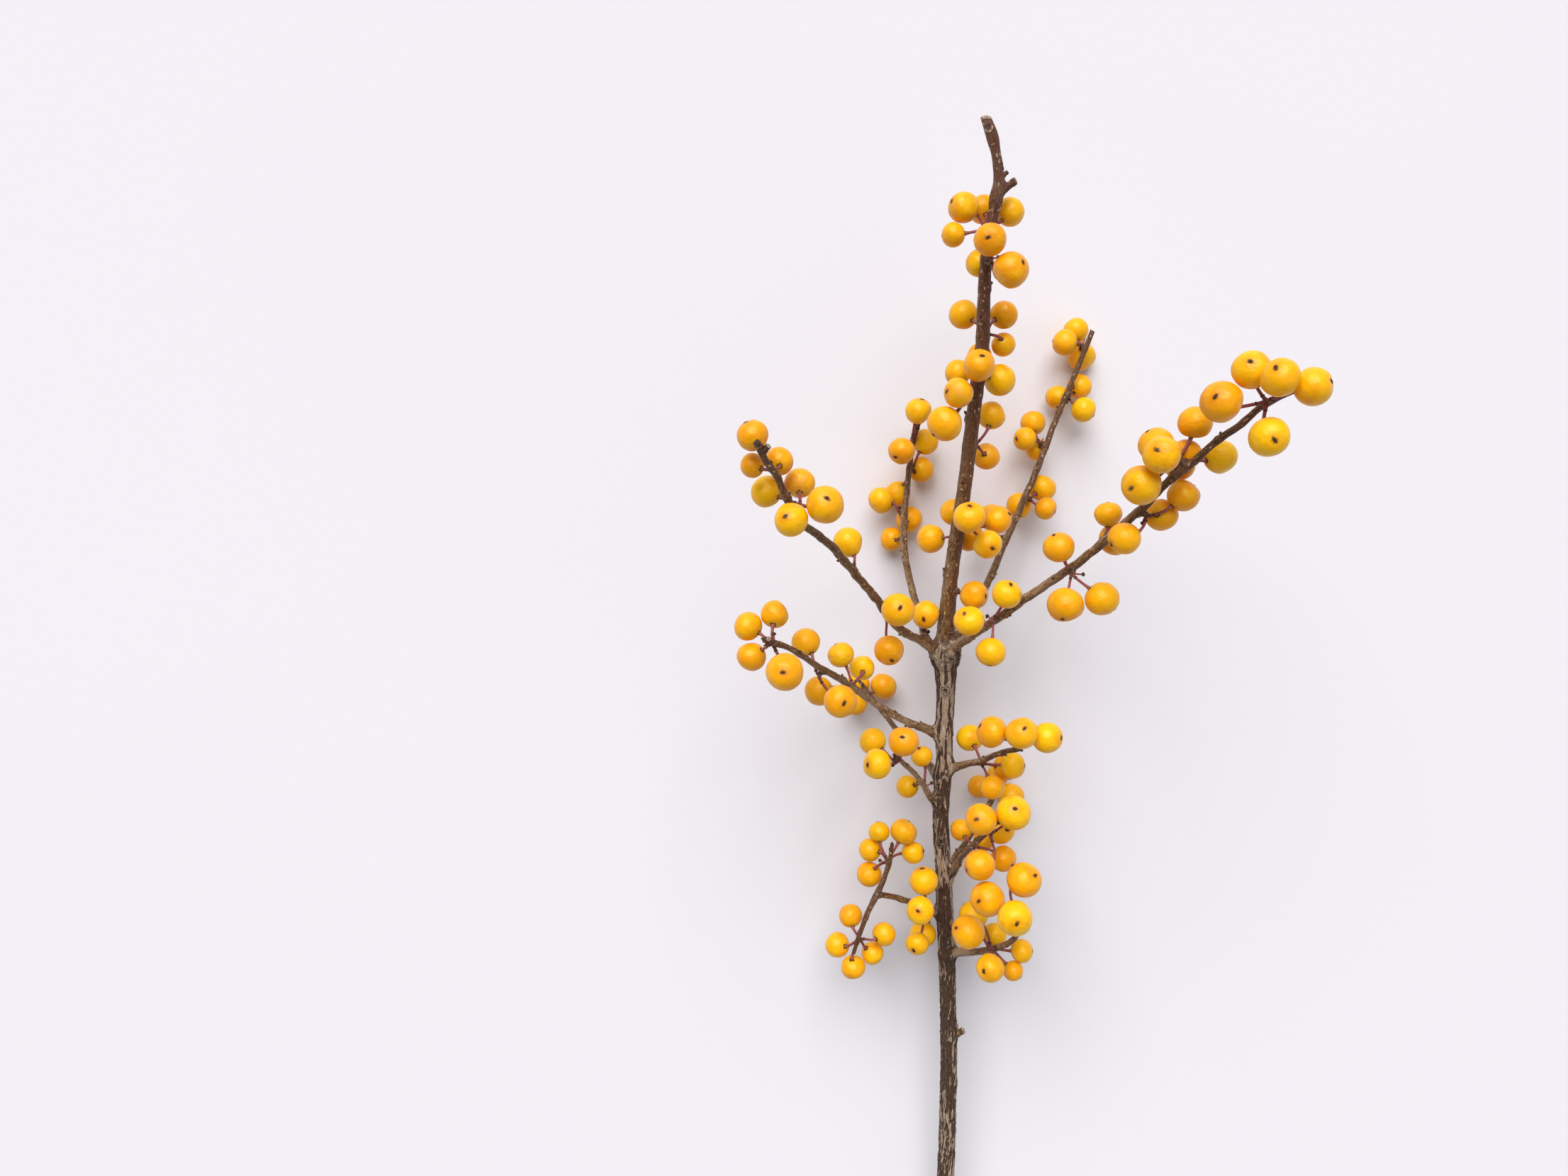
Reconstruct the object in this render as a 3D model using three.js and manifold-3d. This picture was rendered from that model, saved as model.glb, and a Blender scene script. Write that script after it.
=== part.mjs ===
// A cut branch of yellow winterberry lying on a flat surface.
// Millimetres, +Z up. The branch runs along Y: the cut end is at -Y and the
// tip of the leader at +Y. The surface is the plane z = 0.
import * as THREE from 'three';
import { mergeVertices } from 'three/addons/utils/BufferGeometryUtils.js';
import Module from 'manifold-3d';

const wasm = await Module();
wasm.setup();

// ---------------------------------------------------------------------------
// Driving dimensions
// ---------------------------------------------------------------------------
const BARK_GAP = 0.3;          // clearance between a side shoot and the wood it grows from
const SPUR_RADIUS = 1.0;       // the small woody knob that a group of berry stalks grows from
const STALK_RADIUS = 0.48;     // berry stalk
const BERRY_SQUASH = 0.97;     // berries are slightly shorter along their stalk than wide
const BERRY_FACET = 1.03;      // faceted berries keep about the volume of round ones
const CUT_SLOPE = 0.55;        // slope of the slanting cut across the foot of the stem
const MAIN_SIDES = 10;
const TWIG_SIDES = 6;
const STALK_SIDES = 4;
const BERRY_MERIDIANS = 8;
const BERRY_PARALLELS = 5;

// ---------------------------------------------------------------------------
// Wood: centre lines as [x, y, z, radius]. The first piece is the main stem
// with its leader, from the cut foot to the tip. The others are the side
// shoots, each from the axis of the wood that it grows from to its own tip.
// ---------------------------------------------------------------------------
const WOOD = {
  main_stem: [
    [-5.8, -327.4, 3.8, 3.91], [-8.3, -257.4, 6.7, 3.79], [-7.8, -194.5, 10, 3.66],
    [-5.3, -132.6, 14, 3.51], [-1.9, -72.8, 18.7, 3.37], [-1.4, -18, 23.6, 3.25],
    [-2.9, 26.9, 26.9, 3.16], [-3.9, 43, 27.9, 3.13], [-4.8, 61.2, 29.5, 3.1],
    [-5.9, 74.9, 30.9, 3.08], [-6.5, 86.3, 32.1, 3.06], [-6, 96.2, 33.2, 3.08],
    [-5.5, 107.6, 34.4, 3.12], [-5.9, 119, 35.6, 3.17], [-5.7, 130.3, 36.8, 3.36],
    [-5.9, 141.2, 38, 3.74], [-6.2, 150, 38.5, 3.82], [-5.9, 172, 44.9, 2.64],
    [-4.9, 186.9, 49.8, 2.58], [-2.7, 209.3, 57.2, 2.5], [-1.4, 228.8, 63.4, 2.42],
    [-0.4, 243.9, 68.4, 2.37], [0.5, 258.3, 73.3, 2.27], [0, 270.2, 78, 2.16],
    [-0.1, 283.1, 81.8, 2.03], [1.6, 298.8, 85.8, 1.83], [2.7, 309.6, 87.5, 1.69],
    [0.5, 320.5, 89.2, 1.57], [-2.2, 327.9, 89.6, 1.51],
  ],
  left_front_shoot: [
    [-6.3, 147, 38.8, 1.9], [-15.8, 154, 43.7, 1.55], [-25.2, 159.6, 53.1, 1.5],
    [-34.4, 170.9, 67.8, 1.43], [-42.7, 180.1, 81.3, 1.37], [-48.8, 187, 92.8, 1.31],
    [-55.4, 193.1, 103.1, 1.24], [-63, 198.6, 115.5, 1.17], [-66, 204.7, 123.8, 1.12],
    [-69, 210.8, 131.2, 1.07], [-72, 215, 136.5, 1.03], [-74.1, 219.5, 140.8, 1],
  ],
  back_left_shoot: [
    [-6.8, 149.1, 38, 1.75], [-11.8, 152.5, 33.6, 1.49], [-15, 163.6, 28.3, 1.36],
    [-18.1, 175.9, 24, 1.3], [-19.7, 186.3, 20.7, 1.26], [-19.8, 197.3, 18.3, 1.22],
    [-18.3, 210.8, 16.2, 1.14], [-17.1, 221.9, 14.9, 1.06], [-15.4, 231.6, 14.5, 1],
    [-12.8, 239.6, 15, 0.95],
  ],
  right_shoot: [
    [-5.8, 148, 38.9, 1.9], [-2.1, 152.7, 43.7, 1.62], [4.6, 158.7, 51.1, 1.49],
    [12.6, 166, 59.6, 1.47], [20.2, 173.3, 68.1, 1.45], [27.2, 179.9, 77.5, 1.43],
    [32.6, 185.4, 84.9, 1.41], [38, 192.3, 93.4, 1.38], [44.5, 200.5, 102.9, 1.29],
    [50.6, 209.3, 111.5, 1.2], [56.5, 216.2, 120, 1.12], [59.9, 220.9, 125.3, 1.07],
    [64.6, 225.3, 131.6, 1.02], [68.6, 230, 135.9, 0.97], [72.8, 232.9, 140.1, 0.93],
    [76.3, 234.6, 142.2, 0.9],
  ],
  back_right_shoot: [
    [-5.8, 149.1, 38, 1.75], [2.7, 159.5, 32.1, 1.4], [11.7, 174.8, 26.6, 1.34],
    [20.7, 194.1, 22.3, 1.28], [30.7, 215.4, 18.6, 1.22], [38.7, 235.6, 16.4, 1.13],
    [46.7, 254.7, 15.1, 1.04], [53.8, 272.7, 15.2, 0.95],
  ],
  left_middle_twig: [
    [-6.6, 117.3, 36.5, 1.8], [-10.9, 119.8, 40.6, 1.58], [-20.9, 124.7, 50.9, 1.32],
    [-30.8, 131.5, 62.3, 1.25], [-40.4, 139, 73.8, 1.19], [-48.2, 145.4, 83.2, 1.13],
    [-55.9, 150.7, 92.5, 1.03], [-64.8, 157.6, 102.9, 0.93], [-73, 161.3, 110.1, 0.85],
  ],
  right_middle_twig: [
    [-5.6, 103.5, 35.6, 1.5], [-2.5, 105.8, 39.8, 1.34], [5.5, 110.6, 50.1, 1.08],
    [11.4, 115.4, 59.5, 0.95], [16.3, 118.6, 67.7, 0.85],
  ],
  left_small_twig: [
    [-6.3, 90, 33.8, 1.3], [-10.5, 93.8, 39, 1.15], [-14.9, 100.4, 45.4, 1],
    [-20.5, 107.8, 52.9, 0.9], [-27.2, 114.6, 60.3, 0.8],
  ],
  right_lower_twig: [
    [-4.9, 60.2, 30, 1.6], [-2.5, 65.2, 35.3, 1.42], [-0.6, 71.5, 41.7, 1.23],
    [1.2, 76.8, 48, 1.14], [4.9, 84.2, 56.5, 1.02], [9.1, 92.2, 65, 0.9],
  ],
  right_bottom_twig: [
    [-3.3, 29, 28, 1.6], [-0.6, 31.8, 33.2, 1.46], [4.7, 35.2, 40.5, 1.28],
    [10.6, 39.7, 48.8, 1.16], [15.4, 44.9, 56.1, 1.05], [17.4, 51.4, 62.6, 0.95],
    [18.1, 59.5, 68.1, 0.85],
  ],
  left_lower_twig: [
    [-4.3, 45, 28, 1.55], [-8.3, 46.8, 29.1, 1.33], [-13.7, 50.7, 32.4, 1.13],
    [-20.3, 53.7, 35.5, 1.08], [-26.6, 56.4, 38.7, 1.03], [-31.6, 57.7, 40.7, 1],
  ],
  left_lower_up: [
    [-31.6, 57.7, 40.7, 1], [-29.2, 64.4, 43.2, 0.91], [-27.5, 70.2, 44.5, 0.84],
    [-26.6, 78.2, 46, 0.75],
  ],
  left_lower_down: [
    [-31.6, 57.7, 40.7, 1], [-35.1, 50.8, 41.3, 0.92], [-37.7, 43.3, 40.8, 0.84],
    [-40.3, 34.5, 39.3, 0.75],
  ],
  back_middle_twig: [
    [-6.9, 100.2, 33.9, 1.5], [-11.8, 105.6, 27.7, 1.28], [-19.3, 113, 21.2, 1.09],
    [-27.8, 123.4, 16.3, 0.97], [-36.3, 134.6, 13.4, 0.85],
  ],
  back_lower_twig: [
    [-5.8, 58.4, 29.8, 1.5], [-0.8, 64.8, 24.2, 1.27], [6.7, 74, 19.8, 1.09],
    [14.7, 85.3, 16.5, 0.97], [20.7, 97.4, 14.8, 0.85],
  ],
};

// ---------------------------------------------------------------------------
// Berries: each group grows from one spur on the bark. A berry is
// [x, y, z, diameter, ax, ay, az], where a is the direction from its stalk to
// its far end.
// ---------------------------------------------------------------------------
const CLUSTERS = {
  berries_leader_1: { spur: [-2.9, 172.2, 47.8], berries: [
    [2, 171.5, 52.4, 10.3, 0.79, -0.06, 0.61],
  ] },
  berries_leader_2: { spur: [-4.7, 192.6, 47.5], berries: [
    [1.6, 192.2, 43.7, 10.6, 0.74, 0.08, -0.67],
    [-4.2, 201.6, 43.9, 10.1, -0.27, 0.9, -0.34],
    [-12.5, 191.7, 43.2, 10.7, -0.83, -0.08, -0.56],
  ] },
  berries_leader_3: { spur: [-0.9, 196.2, 55.6], berries: [
    [-2.5, 199.3, 68.3, 11.4, -0.1, 0.78, 0.62],
    [10.4, 198.7, 52.6, 10.2, 0.75, 0.42, 0.51],
    [5.5, 189.9, 59, 10.3, 0.21, -0.29, 0.93],
  ] },
  berries_leader_4: { spur: [0.8, 225, 59.2], berries: [
    [6.9, 235.6, 56.3, 10.1, 0.27, 0.86, -0.43],
    [6.5, 221.5, 50, 9.7, 0.37, -0.13, -0.92],
  ] },
  berries_leader_5: { spur: [-2.8, 241.1, 70.7], berries: [
    [-1.7, 249.8, 80.1, 10.7, 0.05, 0.52, 0.85],
    [-7.9, 241.3, 76, 10.3, -0.9, 0.03, 0.43],
    [-12, 231.2, 72.4, 12.2, -0.71, -0.69, 0.14],
  ] },
  berries_leader_6: { spur: [0.4, 248, 65.8], berries: [
    [8.5, 247.1, 63.2, 10.9, 0.83, -0.14, -0.54],
    [1.3, 255.6, 61.8, 9.1, -0.14, 0.89, -0.44],
    [-5.9, 249.9, 61, 9.1, -0.71, 0.08, -0.7],
  ] },
  berries_leader_7: { spur: [1.9, 261.7, 70.9], berries: [
    [-4.6, 269.5, 63.9, 10.3, -0.56, 0.53, -0.64],
    [8.8, 268.9, 67, 9.7, 0.76, 0.46, -0.46],
    [9.5, 259.3, 63.3, 8.4, 0.34, -0.35, -0.87],
  ] },
  berries_leader_8: { spur: [0.5, 284, 85.6], berries: [
    [-1.4, 287.1, 96.1, 10.3, -0.32, -0.08, 0.94],
    [5.8, 278.2, 93.6, 11.6, 0.55, 0.28, 0.78],
  ] },
  berries_leader_9: { spur: [-0.1, 294, 81.4], berries: [
    [-7.3, 301.7, 79.5, 10.2, -0.86, 0.3, 0.41],
    [-10.6, 292.9, 79.2, 8.2, -0.97, -0.05, -0.25],
    [0.3, 302.9, 72.8, 9.8, -0.1, 0.61, -0.79],
    [8.4, 300.6, 78.2, 9.7, 0.65, 0.69, -0.3],
    [-0.6, 285.1, 72.7, 9.9, -0.15, -0.7, -0.7],
  ] },
  berries_left_front_1: { spur: [-30.9, 165.6, 65.2], berries: [
    [-28, 168.1, 77.9, 11.4, 0.02, 0.19, 0.98],
    [-29.7, 152.8, 65, 10.7, 0.13, -0.68, 0.73],
  ] },
  berries_left_front_2: { spur: [-43.1, 182.3, 79.7], berries: [
    [-45, 190.9, 75, 10.1, -0.38, 0.85, -0.37],
  ] },
  berries_left_front_3: { spur: [-62.5, 202.5, 118.8], berries: [
    [-64.8, 198.3, 128.3, 10.2, -0.36, 0.2, 0.91],
    [-54.9, 202.7, 129.4, 11.1, 0.06, 0.33, 0.94],
    [-62, 209.6, 110.1, 9.6, 0.03, 0.67, -0.74],
    [-72.1, 207, 112.4, 10, -0.78, 0.38, -0.5],
  ] },
  berries_left_front_4: { spur: [-70, 212.3, 129.5], berries: [
    [-68.4, 215.8, 119, 8.7, -0.07, 0.39, -0.92],
    [-76.3, 214.3, 123.4, 7.4, -0.79, 0.3, -0.54],
    [-76, 222.5, 131.8, 9.2, -0.45, 0.86, 0.25],
  ] },
  berries_back_left_1: { spur: [-13.5, 157.7, 34], berries: [
    [-14.5, 163.8, 45.2, 10.5, -0.27, -0.28, 0.92],
  ] },
  berries_back_left_2: { spur: [-20.8, 191.5, 16.9], berries: [
    [-23.6, 191.2, 7.8, 9.6, -0.32, 0.06, -0.95],
  ] },
  berries_back_left_3: { spur: [-20.6, 201.1, 15.3], berries: [
    [-16.8, 199, 9.8, 10.7, 0.62, -0.4, -0.67],
    [-28.5, 206.5, 13.2, 10.4, -0.9, 0.23, -0.38],
  ] },
  berries_back_left_4: { spur: [-16.3, 218.7, 12.9], berries: [
    [-21.2, 209.5, 5.9, 10.2, -0.45, -0.66, -0.6],
    [-12, 218.8, 7.6, 10.4, 0.63, 0.21, -0.75],
    [-10.5, 229.6, 10.4, 10.2, 0.52, 0.83, -0.2],
  ] },
  berries_back_left_5: { spur: [-16.3, 230.8, 16.8], berries: [
    [-21.5, 225.1, 25.1, 10.3, -0.58, -0.53, 0.62],
    [-15.1, 240.2, 25, 10.3, 0.22, 0.88, 0.42],
  ] },
  berries_right_1: { spur: [8.2, 163.4, 59.1], berries: [
    [10.9, 172.7, 67.2, 10.3, 0.16, 0.77, 0.62],
    [-1.6, 163.1, 63.4, 11, -0.46, 0.6, 0.66],
    [6.4, 151.9, 62.7, 10.5, -0.15, -0.96, 0.25],
  ] },
  berries_right_2: { spur: [29.2, 180.8, 83.3], berries: [
    [26.1, 170.3, 88, 12.2, -0.29, -0.8, 0.52],
    [38.8, 172.3, 86.1, 11.3, 0.76, -0.63, 0.14],
    [23.9, 189.4, 87.1, 10.3, -0.43, 0.87, 0.25],
  ] },
  berries_right_3: { spur: [38.3, 192.6, 89.9], berries: [
    [43.5, 192, 84, 10.8, 0.55, -0.23, -0.8],
    [39.6, 200.3, 88.5, 9, 0.04, 0.99, -0.11],
  ] },
  berries_right_4: { spur: [47.3, 199.7, 103.5], berries: [
    [57.7, 205.9, 106.9, 10.2, 0.74, 0.67, 0.01],
    [53.6, 199.9, 99.4, 10.3, 0.59, -0.01, -0.8],
    [39.9, 192.5, 105.4, 10.2, -0.9, -0.42, 0.1],
  ] },
  berries_right_5: { spur: [52.4, 213.1, 111.9], berries: [
    [57.9, 215.4, 102.4, 9.5, 0.75, -0.03, -0.67],
    [56.6, 218.4, 111.5, 9.5, 0.58, 0.76, -0.28],
    [46.9, 221.3, 112.8, 10.7, -0.56, 0.83, 0.07],
  ] },
  berries_right_6: { spur: [53, 216, 117.2], berries: [
    [57.6, 227.6, 116.1, 10.2, 0.26, 0.96, 0.03],
    [65.4, 217.3, 116.5, 10.1, 0.97, 0.21, -0.1],
    [44.6, 217.4, 125, 11.1, -0.57, 0.25, 0.78],
    [41.6, 208.8, 116, 12, -0.74, -0.19, 0.64],
  ] },
  berries_right_7: { spur: [69.1, 231.3, 139.8], berries: [
    [55.8, 231.2, 140.8, 11.7, -0.61, 0.19, 0.77],
    [63.6, 240, 141.8, 10.8, -0.41, 0.35, 0.84],
    [67.4, 236.6, 151.4, 10.6, -0.55, 0.46, 0.7],
    [77.7, 234.5, 148.8, 10.7, 0.71, 0.2, 0.67],
    [67.6, 221, 145.3, 11, -0.12, -0.23, 0.96],
  ] },
  berries_back_right_1: { spur: [17.5, 191.8, 21], berries: [
    [13.5, 188.8, 15.4, 8.9, -0.56, -0.6, -0.57],
    [14.4, 199.7, 17.9, 10.6, -0.12, 0.86, -0.5],
  ] },
  berries_back_right_2: { spur: [29, 206.9, 18], berries: [
    [35.1, 203.2, 20, 8.8, 0.83, -0.4, 0.39],
    [35.4, 211.4, 12.7, 10.9, 0.69, 0.47, -0.56],
    [26.7, 204.4, 10.9, 10.2, -0.18, -0.26, -0.95],
  ] },
  berries_back_right_3: { spur: [33.9, 228.6, 15.5], berries: [
    [33.8, 226.8, 9, 8.9, -0.16, -0.16, -0.97],
    [31.7, 236.8, 11.2, 9.8, -0.06, 0.8, -0.59],
    [27.3, 230.2, 17.1, 9.1, -0.89, 0, 0.46],
  ] },
  berries_back_right_4: { spur: [44.9, 246.5, 13.4], berries: [
    [50.8, 241.8, 14.4, 9.7, 0.81, -0.56, 0.2],
    [50.8, 251.7, 7.3, 9.8, 0.73, 0.11, -0.67],
    [42, 247.4, 7.9, 9.2, -0.4, 0.14, -0.91],
  ] },
  berries_back_right_5: { spur: [50, 266.6, 13.1], berries: [
    [52, 263.7, 5.5, 11, 0.23, -0.46, -0.86],
    [49.2, 273.7, 7.3, 9.8, -0.05, 0.89, -0.46],
    [43.3, 268.1, 13.4, 10.2, -0.96, 0.15, -0.22],
  ] },
  berries_left_middle_1: { spur: [-42.8, 141.4, 73.5], berries: [
    [-47.1, 152, 71.6, 9.3, -0.43, 0.9, -0.1],
    [-54.7, 139.5, 71.8, 10.3, -0.95, -0.25, -0.16],
    [-39.2, 146.5, 63.2, 9, -0.02, 0.28, -0.96],
  ] },
  berries_left_middle_2: { spur: [-55.3, 147.4, 88.9], berries: [
    [-48.5, 139.7, 96.7, 10.8, 0.19, 0.04, 0.98],
    [-59.5, 157.6, 83.4, 9.7, -0.4, 0.77, -0.49],
  ] },
  berries_left_middle_3: { spur: [-70.1, 159.4, 104.7], berries: [
    [-66.6, 151.7, 114.9, 11.7, -0.12, 0.1, 0.99],
    [-78.3, 164.4, 99.4, 9.5, -0.81, 0.46, -0.38],
    [-77.2, 154.7, 99.6, 9.5, -0.76, -0.52, -0.4],
    [-69.7, 168.2, 98.4, 9.1, 0.14, 0.73, -0.67],
  ] },
  berries_right_middle_1: { spur: [5.8, 108.9, 46.4], berries: [
    [3.7, 116.4, 36.5, 10.2, -0.21, 0.48, -0.85],
    [16.6, 106.5, 41.8, 10, 0.92, -0.17, -0.35],
    [10.4, 99.9, 46.1, 9.5, 0.38, -0.92, 0.12],
    [17, 109.1, 51.5, 9.7, 0.94, 0.02, 0.33],
  ] },
  berries_right_middle_2: { spur: [14.1, 119.9, 66.1], berries: [
    [14.3, 125.8, 77.7, 11.1, 0, 0.47, 0.88],
    [5.5, 124.9, 70.8, 11.1, -0.87, 0.47, 0.12],
    [24.2, 123.4, 73.2, 10.7, 0.8, 0.11, 0.59],
  ] },
  berries_left_small_1: { spur: [-13.8, 98.8, 40.8], berries: [
    [-15, 110.2, 40.4, 8, -0.34, 0.91, 0.24],
    [-19.3, 96.5, 31.1, 8.7, -0.55, -0.35, -0.76],
  ] },
  berries_left_small_2: { spur: [-26.6, 112.4, 61.2], berries: [
    [-25, 121.5, 69.8, 10.6, -0.2, 0.47, 0.86],
    [-34.4, 113.6, 70.2, 10.6, -0.75, 0.06, 0.66],
    [-34.5, 118.5, 53.9, 9.8, -0.63, 0.44, -0.64],
  ] },
  berries_right_lower_1: { spur: [3.3, 77.5, 46.7], berries: [
    [13.5, 75.1, 53.4, 9.7, 0.65, -0.37, 0.66],
    [12.9, 84.9, 50.4, 10.3, 0.34, 0.26, 0.91],
    [0.7, 81, 35.9, 8.4, -0.24, 0.43, -0.87],
    [9, 77.3, 37.1, 8.6, 0.96, 0.17, -0.22],
  ] },
  berries_right_lower_2: { spur: [6.9, 87.3, 63.2], berries: [
    [13.3, 96.5, 70.9, 12.2, -0.09, 0.48, 0.87],
    [1.7, 94.7, 72.5, 11, -0.46, 0.23, 0.86],
    [2.3, 76.9, 67.1, 11, -0.92, -0.25, 0.31],
  ] },
  berries_right_bottom_1: { spur: [10.6, 38.1, 44.2], berries: [
    [5.3, 49, 39, 11.4, -0.64, 0.67, -0.37],
    [14.3, 39.5, 33.8, 9.5, 0.37, 0.8, -0.48],
    [21.7, 38.8, 48.3, 8.7, 0.97, 0.08, 0.24],
    [18.6, 31.1, 48, 7.6, 0.71, -0.65, 0.28],
  ] },
  berries_right_bottom_2: { spur: [9.7, 40.6, 51.8], berries: [
    [0.7, 48.2, 54.3, 12.2, -0.84, 0.39, 0.37],
    [8.3, 36, 57.6, 10.3, -0.65, 0.05, 0.76],
  ] },
  berries_right_bottom_3: { spur: [15.8, 59, 67.1], berries: [
    [5.2, 64.7, 67.3, 12.2, -0.68, 0.12, 0.73],
    [17.6, 72.3, 69.4, 12.2, 0.51, 0.49, 0.7],
    [12.2, 62.2, 79.8, 12.2, -0.05, 0, 1],
  ] },
  berries_left_lower_1: { spur: [-12.7, 48.6, 33.9], berries: [
    [-13.4, 61.4, 36, 11, -0.13, 0.98, 0.15],
    [-15.8, 53.2, 45.4, 10.5, -0.29, 0.26, 0.92],
    [-12.4, 37.7, 27.6, 10.3, -0.46, -0.87, 0.15],
    [-15.9, 37.4, 36.8, 9, -0.41, -0.39, 0.82],
  ] },
  berries_left_lower_up_1: { spur: [-27.6, 70.7, 42.3], berries: [
    [-21.4, 81.2, 39, 10.2, 0.47, 0.84, -0.28],
    [-17.6, 72.6, 36.4, 8.9, 0.93, 0.2, 0.31],
    [-30.6, 80.7, 37.4, 8.1, -0.07, 0.94, -0.35],
    [-33.8, 73.1, 35.2, 8.6, -0.77, 0.01, -0.63],
    [-34, 63.5, 34.7, 9.6, -0.41, -0.69, -0.6],
  ] },
  berries_left_lower_down_1: { spur: [-38, 39.6, 38.2], berries: [
    [-40.8, 45.8, 29.9, 9.1, -0.15, 0.74, -0.65],
    [-46, 34.5, 30.4, 9.6, -0.66, -0.14, -0.74],
    [-32.4, 31.5, 31.4, 8.8, 0.63, -0.64, -0.44],
    [-40.2, 27.8, 36.2, 9.3, 0.15, -0.9, -0.41],
    [-28.3, 40.2, 34.7, 9, 0.78, 0.23, -0.58],
  ] },
  berries_back_middle_1: { spur: [-32.7, 129.2, 12.3], berries: [
    [-26.4, 131.8, 7.1, 10.9, 0.84, 0.39, -0.38],
    [-36.4, 132.7, 4.7, 9.3, -0.32, 0.43, -0.84],
    [-38, 125.4, 10.7, 9.5, -0.79, -0.57, -0.22],
  ] },
  berries_back_lower_1: { spur: [18.2, 91.4, 13.2], berries: [
    [24.5, 87.8, 11.4, 10.9, 0.92, -0.34, -0.21],
    [20.1, 96, 7.3, 9.1, 0.21, 0.66, -0.72],
    [12, 91.5, 9.3, 9.2, -0.79, 0.03, -0.61],
  ] },
};

// ---------------------------------------------------------------------------
// Materials
// ---------------------------------------------------------------------------
const barkOld = new THREE.MeshStandardMaterial({ name: 'bark_old', color: 0x66564c, roughness: 0.85, metalness: 0 });
const barkYoung = new THREE.MeshStandardMaterial({ name: 'bark_young', color: 0x5a423a, roughness: 0.7, metalness: 0 });
const berrySkin = new THREE.MeshStandardMaterial({ name: 'berry_skin', color: 0xf2b81e, roughness: 0.38, metalness: 0 });

// ---------------------------------------------------------------------------
// Shapes
// ---------------------------------------------------------------------------
const vec = (p) => new THREE.Vector3(p[0], p[1], p[2]);

// A closed cylinder bent along a smooth curve through the points, tapering
// with their radii. cutSlope tilts the first end cap.
function taperedStem(points, sides, perSpan, { extraRadius = 0, cutSlope = 0 } = {}) {
  const curve = new THREE.CatmullRomCurve3(points.map(vec), false, 'centripetal');
  const rings = (points.length - 1) * perSpan;
  const centres = [];
  const tangents = [];
  const radii = [];
  for (let i = 0; i <= rings; i += 1) {
    const t = i / rings;
    centres.push(curve.getPoint(t));
    tangents.push(curve.getTangent(t));
    const at = t * (points.length - 1);
    const k = Math.min(Math.floor(at), points.length - 2);
    radii.push(THREE.MathUtils.lerp(points[k][3], points[k + 1][3], at - k) + extraRadius);
  }
  // carry one side direction along the curve without twist
  const sideways = [];
  let side = new THREE.Vector3(0, 0, 1);
  if (Math.abs(side.dot(tangents[0])) > 0.9) side.set(1, 0, 0);
  for (let i = 0; i <= rings; i += 1) {
    side = side.clone().addScaledVector(tangents[i], -side.dot(tangents[i])).normalize();
    sideways.push(side);
  }
  const geometry = new THREE.CylinderGeometry(1, 1, 1, sides, rings, false);
  const position = geometry.attributes.position;
  const p = new THREE.Vector3();
  for (let i = 0; i < position.count; i += 1) {
    p.fromBufferAttribute(position, i);
    const ring = Math.round((p.y + 0.5) * rings);
    const n = sideways[ring];
    const b = new THREE.Vector3().crossVectors(n, tangents[ring]);
    const out = centres[ring].clone()
      .addScaledVector(n, p.x * radii[ring])
      .addScaledVector(b, p.z * radii[ring]);
    if (ring === 0) out.addScaledVector(tangents[0], cutSlope * radii[0] * (1 - p.x));
    position.setXYZ(i, out.x, out.y, out.z);
  }
  return geometry;
}

function berry(centre, diameter, axis) {
  const geometry = new THREE.SphereGeometry(diameter / 2 * BERRY_FACET, BERRY_MERIDIANS, BERRY_PARALLELS);
  geometry.rotateY(Math.PI / BERRY_MERIDIANS);      // so that the stalk meets the middle of a facet
  geometry.scale(1, 1, BERRY_SQUASH);
  geometry.applyQuaternion(new THREE.Quaternion().setFromUnitVectors(new THREE.Vector3(0, 0, -1), axis));
  geometry.translate(centre.x, centre.y, centre.z);
  return geometry;
}

function stalk(from, to) {
  const along = to.clone().sub(from);
  const geometry = new THREE.CylinderGeometry(STALK_RADIUS * 0.9, STALK_RADIUS * 1.15, along.length(), STALK_SIDES, 1);
  geometry.applyQuaternion(new THREE.Quaternion().setFromUnitVectors(new THREE.Vector3(0, 1, 0), along.clone().normalize()));
  const middle = from.clone().add(to).multiplyScalar(0.5);
  geometry.translate(middle.x, middle.y, middle.z);
  return geometry;
}

// ---------------------------------------------------------------------------
// Joining and cutting
// ---------------------------------------------------------------------------
function toSolid(geometry) {
  geometry.deleteAttribute('normal');
  geometry.deleteAttribute('uv');
  const merged = mergeVertices(geometry, 1e-4);
  return new wasm.Manifold(new wasm.Mesh({
    numProp: 3,
    vertProperties: new Float32Array(merged.attributes.position.array),
    triVerts: new Uint32Array(merged.index.array),
  }));
}

function toGeometry(solid) {
  const mesh = solid.getMesh();
  const geometry = new THREE.BufferGeometry();
  geometry.setAttribute('position', new THREE.BufferAttribute(new Float32Array(mesh.vertProperties), 3));
  geometry.setIndex(new THREE.BufferAttribute(new Uint32Array(mesh.triVerts), 1));
  geometry.computeVertexNormals();
  return geometry;
}

function join(solids) {
  return solids.reduce((all, one) => all.add(one));
}

// ---------------------------------------------------------------------------
// The branch
// ---------------------------------------------------------------------------
const branch = new THREE.Group();

function place(name, solid, material) {
  const mesh = new THREE.Mesh(toGeometry(solid), material);
  mesh.name = name;
  branch.add(mesh);
}

const mainStem = toSolid(taperedStem(WOOD.main_stem, MAIN_SIDES, 2, { cutSlope: CUT_SLOPE }));
const mainClearance = toSolid(taperedStem(WOOD.main_stem, MAIN_SIDES, 2, { extraRadius: BARK_GAP + 0.05 }));
place('main_stem', mainStem, barkOld);

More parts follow.
